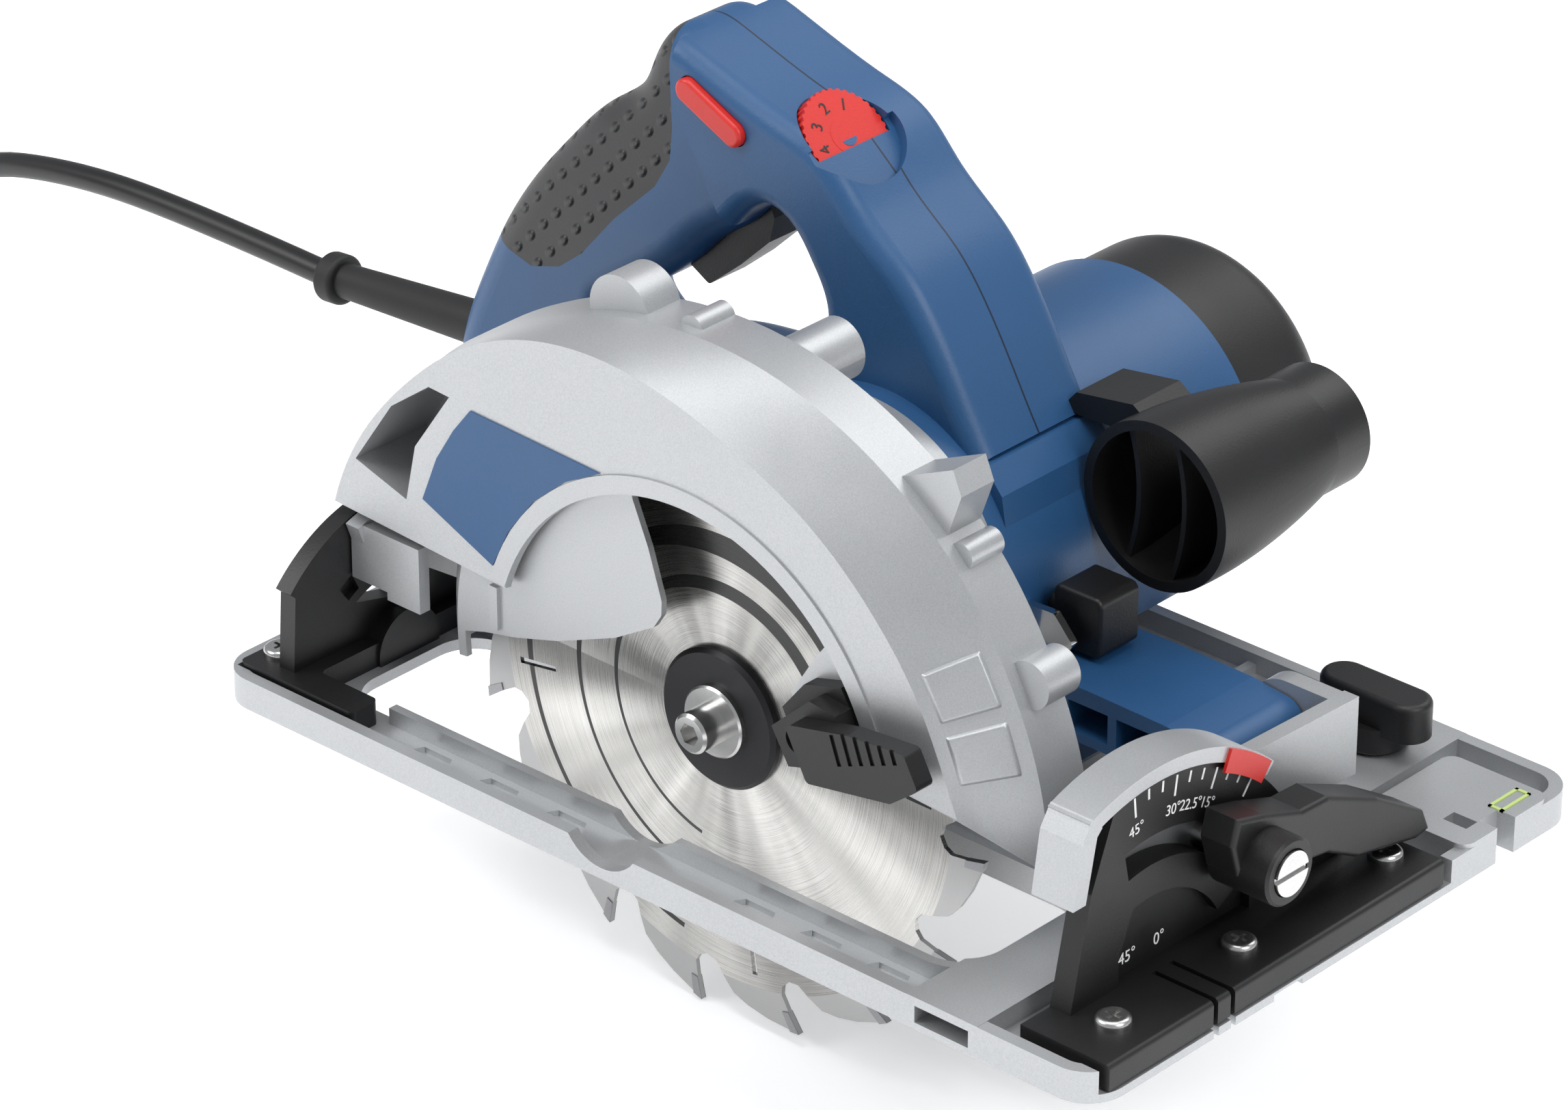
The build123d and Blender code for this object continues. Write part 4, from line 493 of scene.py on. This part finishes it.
def addPiece(name, mesh, body, material):
    piece = bpy.data.objects.new(name, mesh)
    bpy.context.scene.collection.objects.link(piece)
    piece.data.materials.append(made[material])
    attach(piece, body)
    return piece


# tilt scale on the front quadrant
scale = {
    "face": 139.0, "radius": 67.5, "centreY": -54.0,
    "tickLong": 6.0, "tickShort": 3.2, "tickWidth": 0.7, "tickDeep": 0.15, "rim": 1.2,
    "textSize": 5.0, "arcTextSize": 4.4, "textDrop": 11.0, "startAngle": 51.5, "lift": 0.12,
    "notches": [(45, -63.0), (0, -50.0)], "notchHeight": 19.0,
}


def tickMesh():
    # one flat bar for each mark, every 5 degrees, long ones every 15
    bm = bmesh.new()
    for degree in range(0, 50, 5):
        angle = radians(scale["startAngle"] + degree)
        long = scale["tickLong"] if degree % 15 == 0 else scale["tickShort"]
        outward = Vector((0, cos(angle), sin(angle)))
        across = Vector((0, -sin(angle), cos(angle))) * scale["tickWidth"] / 2
        middle = Vector((scale["face"] + scale["lift"], scale["centreY"], 0))
        top = scale["radius"] - scale["rim"]
        inner = middle + outward * (top - long)
        outer = middle + outward * top
        corners = [inner - across, outer - across, outer + across, inner + across]
        bottom = [bm.verts.new(c * mm) for c in corners]
        face = bm.faces.new(bottom)
        raised = bmesh.ops.extrude_face_region(bm, geom=[face])
        verts = [g for g in raised["geom"] if isinstance(g, bmesh.types.BMVert)]
        bmesh.ops.translate(bm, verts=verts, vec=(-scale["tickDeep"] * mm, 0, 0))
    bmesh.ops.recalc_face_normals(bm, faces=bm.faces)
    return meshFrom(bm, "scaleTicks")


addPiece("scaleTicks", tickMesh(), "base", "whitePrint")


def textPiece(name, words, place, turn, size, body, material):
    data = bpy.data.curves.new(name, "FONT")
    data.body = words
    data.size = size * mm
    data.extrude = 0.05 * mm
    data.align_x = "CENTER"
    data.align_y = "CENTER"
    piece = bpy.data.objects.new(name, data)
    piece.matrix_world = Matrix.Translation(Vector(place) * mm) @ turn.to_matrix().to_4x4()
    bpy.context.scene.collection.objects.link(piece)
    data.materials.append(made[material])
    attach(piece, body)
    return piece


def scaleNumbers():
    # degree numbers below the marks, and at the two sight notches
    facing = Euler((radians(90), 0, radians(90))).to_matrix()
    front = scale["face"] + scale["lift"]
    radius = scale["radius"] - scale["textDrop"]
    for number in (0, 15, 22.5, 30, 45):
        angle = radians(scale["startAngle"] + number)
        place = (front, scale["centreY"] + radius * cos(angle), radius * sin(angle))
        turn = facing @ Euler((0, 0, angle - pi / 2)).to_matrix()
        textPiece("scaleNumber%d" % number, "%g°" % number, place, turn.to_quaternion(),
                  scale["arcTextSize"], "base", "whitePrint")
    for number, y in scale["notches"]:
        place = (front, y, scale["notchHeight"])
        textPiece("notchNumber%d" % number, "%d°" % number, place, facing.to_quaternion(), scale["textSize"],
                  "base", "whitePrint")


scaleNumbers()

# numbers round the speed dial
dial = {
    "centre": (-35.0, 21.0, 171.5), "slope": 45.0,
    "radius": 9.6, "size": 5.2, "lift": 0.10,
    "count": 6, "firstAngle": 150.0, "angleStep": 42.0,
    "cap": 5.5, "capHigh": 0.08,
}
dialTilt = Matrix.Rotation(radians(dial["slope"]), 4, "Y")


def dialNumbers():
    for k in range(dial["count"]):
        angle = radians(dial["firstAngle"] + dial["angleStep"] * k)
        local = Vector((dial["radius"] * cos(angle), dial["radius"] * sin(angle), dial["lift"]))
        place = Vector(dial["centre"]) + dialTilt @ local
        turn = (dialTilt @ Matrix.Rotation(angle - pi / 2, 4, "Z")).to_quaternion()
        textPiece("dialNumber%d" % (k + 1), str(k + 1), place, turn, dial["size"], "speed_wheel", "darkPrint")


def dialCapMesh():
    # thin red disc over the wheel's middle
    bm = bmesh.new()
    bmesh.ops.create_circle(bm, cap_ends=True, segments=48, radius=dial["cap"])
    raised = bmesh.ops.extrude_face_region(bm, geom=list(bm.faces))
    verts = [g for g in raised["geom"] if isinstance(g, bmesh.types.BMVert)]
    bmesh.ops.translate(bm, verts=verts, vec=(0, 0, dial["capHigh"]))
    bmesh.ops.transform(bm, verts=bm.verts, matrix=dialTilt)
    for vert in bm.verts:
        vert.co = (vert.co + Vector(dial["centre"])) * mm
    bmesh.ops.recalc_face_normals(bm, faces=bm.faces)
    return meshFrom(bm, "dialCap")


addPiece("dialCap", dialCapMesh(), "speed_wheel", "redPlastic")
dialNumbers()
print("scale and dial marked")

# raised panels on the sloping front shoulder of the guard
panels = {
    "spans": [(12.5, 20.5), (22.5, 31.0)],      # degrees round the arbor
    "low": 0.14, "high": 0.84,                  # share of the shoulder they cover
    "thick": 0.7, "sunk": 0.4, "ramp": 0.05,
    "faceY": -71.0, "deep": 17.0,               # where the shoulder starts and how far back it runs
}
# the shoulder's two edges: degrees round the arbor, radius
farOutline = [(-2, 115.5), (8, 115), (18, 113.5), (28, 112.2), (42, 111.5), (60, 110.5), (80, 111.0)]
nearOutline = [(7.5, 99.5), (12, 97.5), (20, 95.6), (28, 94.6), (42, 93.2), (60, 93.5), (76, 95.5)]


def guardRadius(table, angle):
    for (a, ra), (b, rb) in zip(table, table[1:]):
        if a <= angle <= b:
            return ra + (rb - ra) * (angle - a) / (b - a)
    return table[-1][1]


def shoulderPoint(angle, share, lift):
    # place on the sloping shoulder of the guard, share 0 at its face and 1 at its back edge
    near, far = guardRadius(nearOutline, angle), guardRadius(farOutline, angle)
    outward = Vector((panels["deep"], near - far)).normalized()
    radius = near + (far - near) * share + outward.x * lift
    y = panels["faceY"] + panels["deep"] * share + outward.y * lift
    turn = radians(angle)
    return Vector((arbor["x"] + radius * cos(turn), y, arbor["z"] + radius * sin(turn))) * mm


def panelMesh(first, last):
    # raised pad with ramped sides that follows the shoulder
    bm = bmesh.new()
    ramp = panels["ramp"]
    steps = [0.0, ramp, ramp * 1.8, 0.25, 0.5, 0.75, 1 - ramp * 1.8, 1 - ramp, 1.0]
    grid = []
    for i in steps:
        row = []
        for j in steps:
            share = panels["low"] + (panels["high"] - panels["low"]) * j
            edge = i in (0.0, 1.0) or j in (0.0, 1.0)
            lift = -panels["sunk"] if edge else panels["thick"]
            row.append(bm.verts.new(shoulderPoint(first + (last - first) * i, share, lift)))
        grid.append(row)
    for i in range(len(steps) - 1):
        for j in range(len(steps) - 1):
            bm.faces.new((grid[i][j], grid[i + 1][j], grid[i + 1][j + 1], grid[i][j + 1]))
    bmesh.ops.recalc_face_normals(bm, faces=bm.faces)
    for face in bm.faces:
        face.smooth = True
    return meshFrom(bm, "shoulderPanel")


for number, (first, last) in enumerate(panels["spans"]):
    mesh = panelMesh(first, last)
    piece = addPiece("shoulderPanel%d" % (number + 1), mesh, "saw_body", "castAlloy")
    smooth = piece.modifiers.new("smooth", "SUBSURF")
    smooth.levels = 1
    smooth.render_levels = 2
print("guard panels added")

# small green sight mark let into the corner of the plate
sight = {"x": 155.8, "y": 80.3, "long": 13.0, "wide": 5.0, "line": 1.0, "high": 0.35, "sunk": 0.3,
         "plateTop": 8.0}     # used if nothing of the plate is below the mark


def sightMesh():
    # frame of four thin bars
    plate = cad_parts["base_plate"]
    above = Vector((sight["x"], sight["y"], 60.0)) * mm
    found = plate.ray_cast(above, Vector((0, 0, -1)))
    top = found[1].z / mm if found[0] else sight["plateTop"]
    low, high = top - sight["sunk"], top + sight["high"]
    bm = bmesh.new()
    long, wide, line = sight["long"] / 2, sight["wide"] / 2, sight["line"]
    bars = [(-wide, -wide + line, -long, long), (wide - line, wide, -long, long),
            (-wide, wide, -long, -long + line), (-wide, wide, long - line, long)]
    for x0, x1, y0, y1 in bars:
        for vert in bmesh.ops.create_cube(bm, size=1.0)["verts"]:
            x = sight["x"] + (x0 if vert.co.x < 0 else x1)
            y = sight["y"] + (y0 if vert.co.y < 0 else y1)
            vert.co = Vector((x, y, low if vert.co.z < 0 else high)) * mm
    return meshFrom(bm, "sightMark")


addPiece("sightMark", sightMesh(), "base", "paleGreen")

# studio
studio = {
    "floorDrop": 0.5 * mm, "floorHalf": 14.0,
    "floor": (0.93, 0.93, 0.935), "glow": 0.35,
    # place, size in metres, power
    "lights": [((-1.9, -1.9, 2.4), 1.6, 52.0), ((2.4, -0.2, 2.0), 1.4, 34.0),
               ((0.2, 2.2, 2.4), 2.0, 30.0), ((0.0, -0.3, 3.2), 1.8, 40.0)],
    "lightsAim": (0, 0, 0.05),
    "sky": (0.95, 0.97, 1.0), "skyStrength": 0.42,
}


def makeFloor():
    low = cadBox[0][2] - studio["floorDrop"]
    bm = bmesh.new()
    corners = [(-1, -1), (1, -1), (1, 1), (-1, 1)]
    bm.faces.new([bm.verts.new((x * studio["floorHalf"], y * studio["floorHalf"], low)) for x, y in corners])
    floor = bpy.data.objects.new("studioFloor", meshFrom(bm, "studioFloor"))
    bpy.context.scene.collection.objects.link(floor)
    material, tree, shader = startMaterial("palePaper")
    shader.inputs["Base Color"].default_value = (*studio["floor"], 1)
    shader.inputs["Roughness"].default_value = 0.9
    shader.inputs["Emission Color"].default_value = (1, 1, 1, 1)
    shader.inputs["Emission Strength"].default_value = studio["glow"]
    floor.data.materials.append(material)


def makeLights():
    for number, (place, size, power) in enumerate(studio["lights"]):
        data = bpy.data.lights.new("softBox%d" % (number + 1), "AREA")
        data.size = size
        data.energy = power
        lamp = bpy.data.objects.new(data.name, data)
        lamp.location = place
        aim = Vector(studio["lightsAim"]) - Vector(place)
        lamp.rotation_euler = aim.to_track_quat("-Z", "Y").to_euler()
        bpy.context.scene.collection.objects.link(lamp)
    world = bpy.data.worlds.new("studioSky")
    world.use_nodes = True
    sky = world.node_tree.nodes["Background"]
    sky.inputs[0].default_value = (*studio["sky"], 1)
    sky.inputs[1].default_value = studio["skyStrength"]
    bpy.context.scene.world = world
    bpy.context.scene.view_settings.view_transform = "Standard"


makeFloor()
makeLights()
print("studio ready")
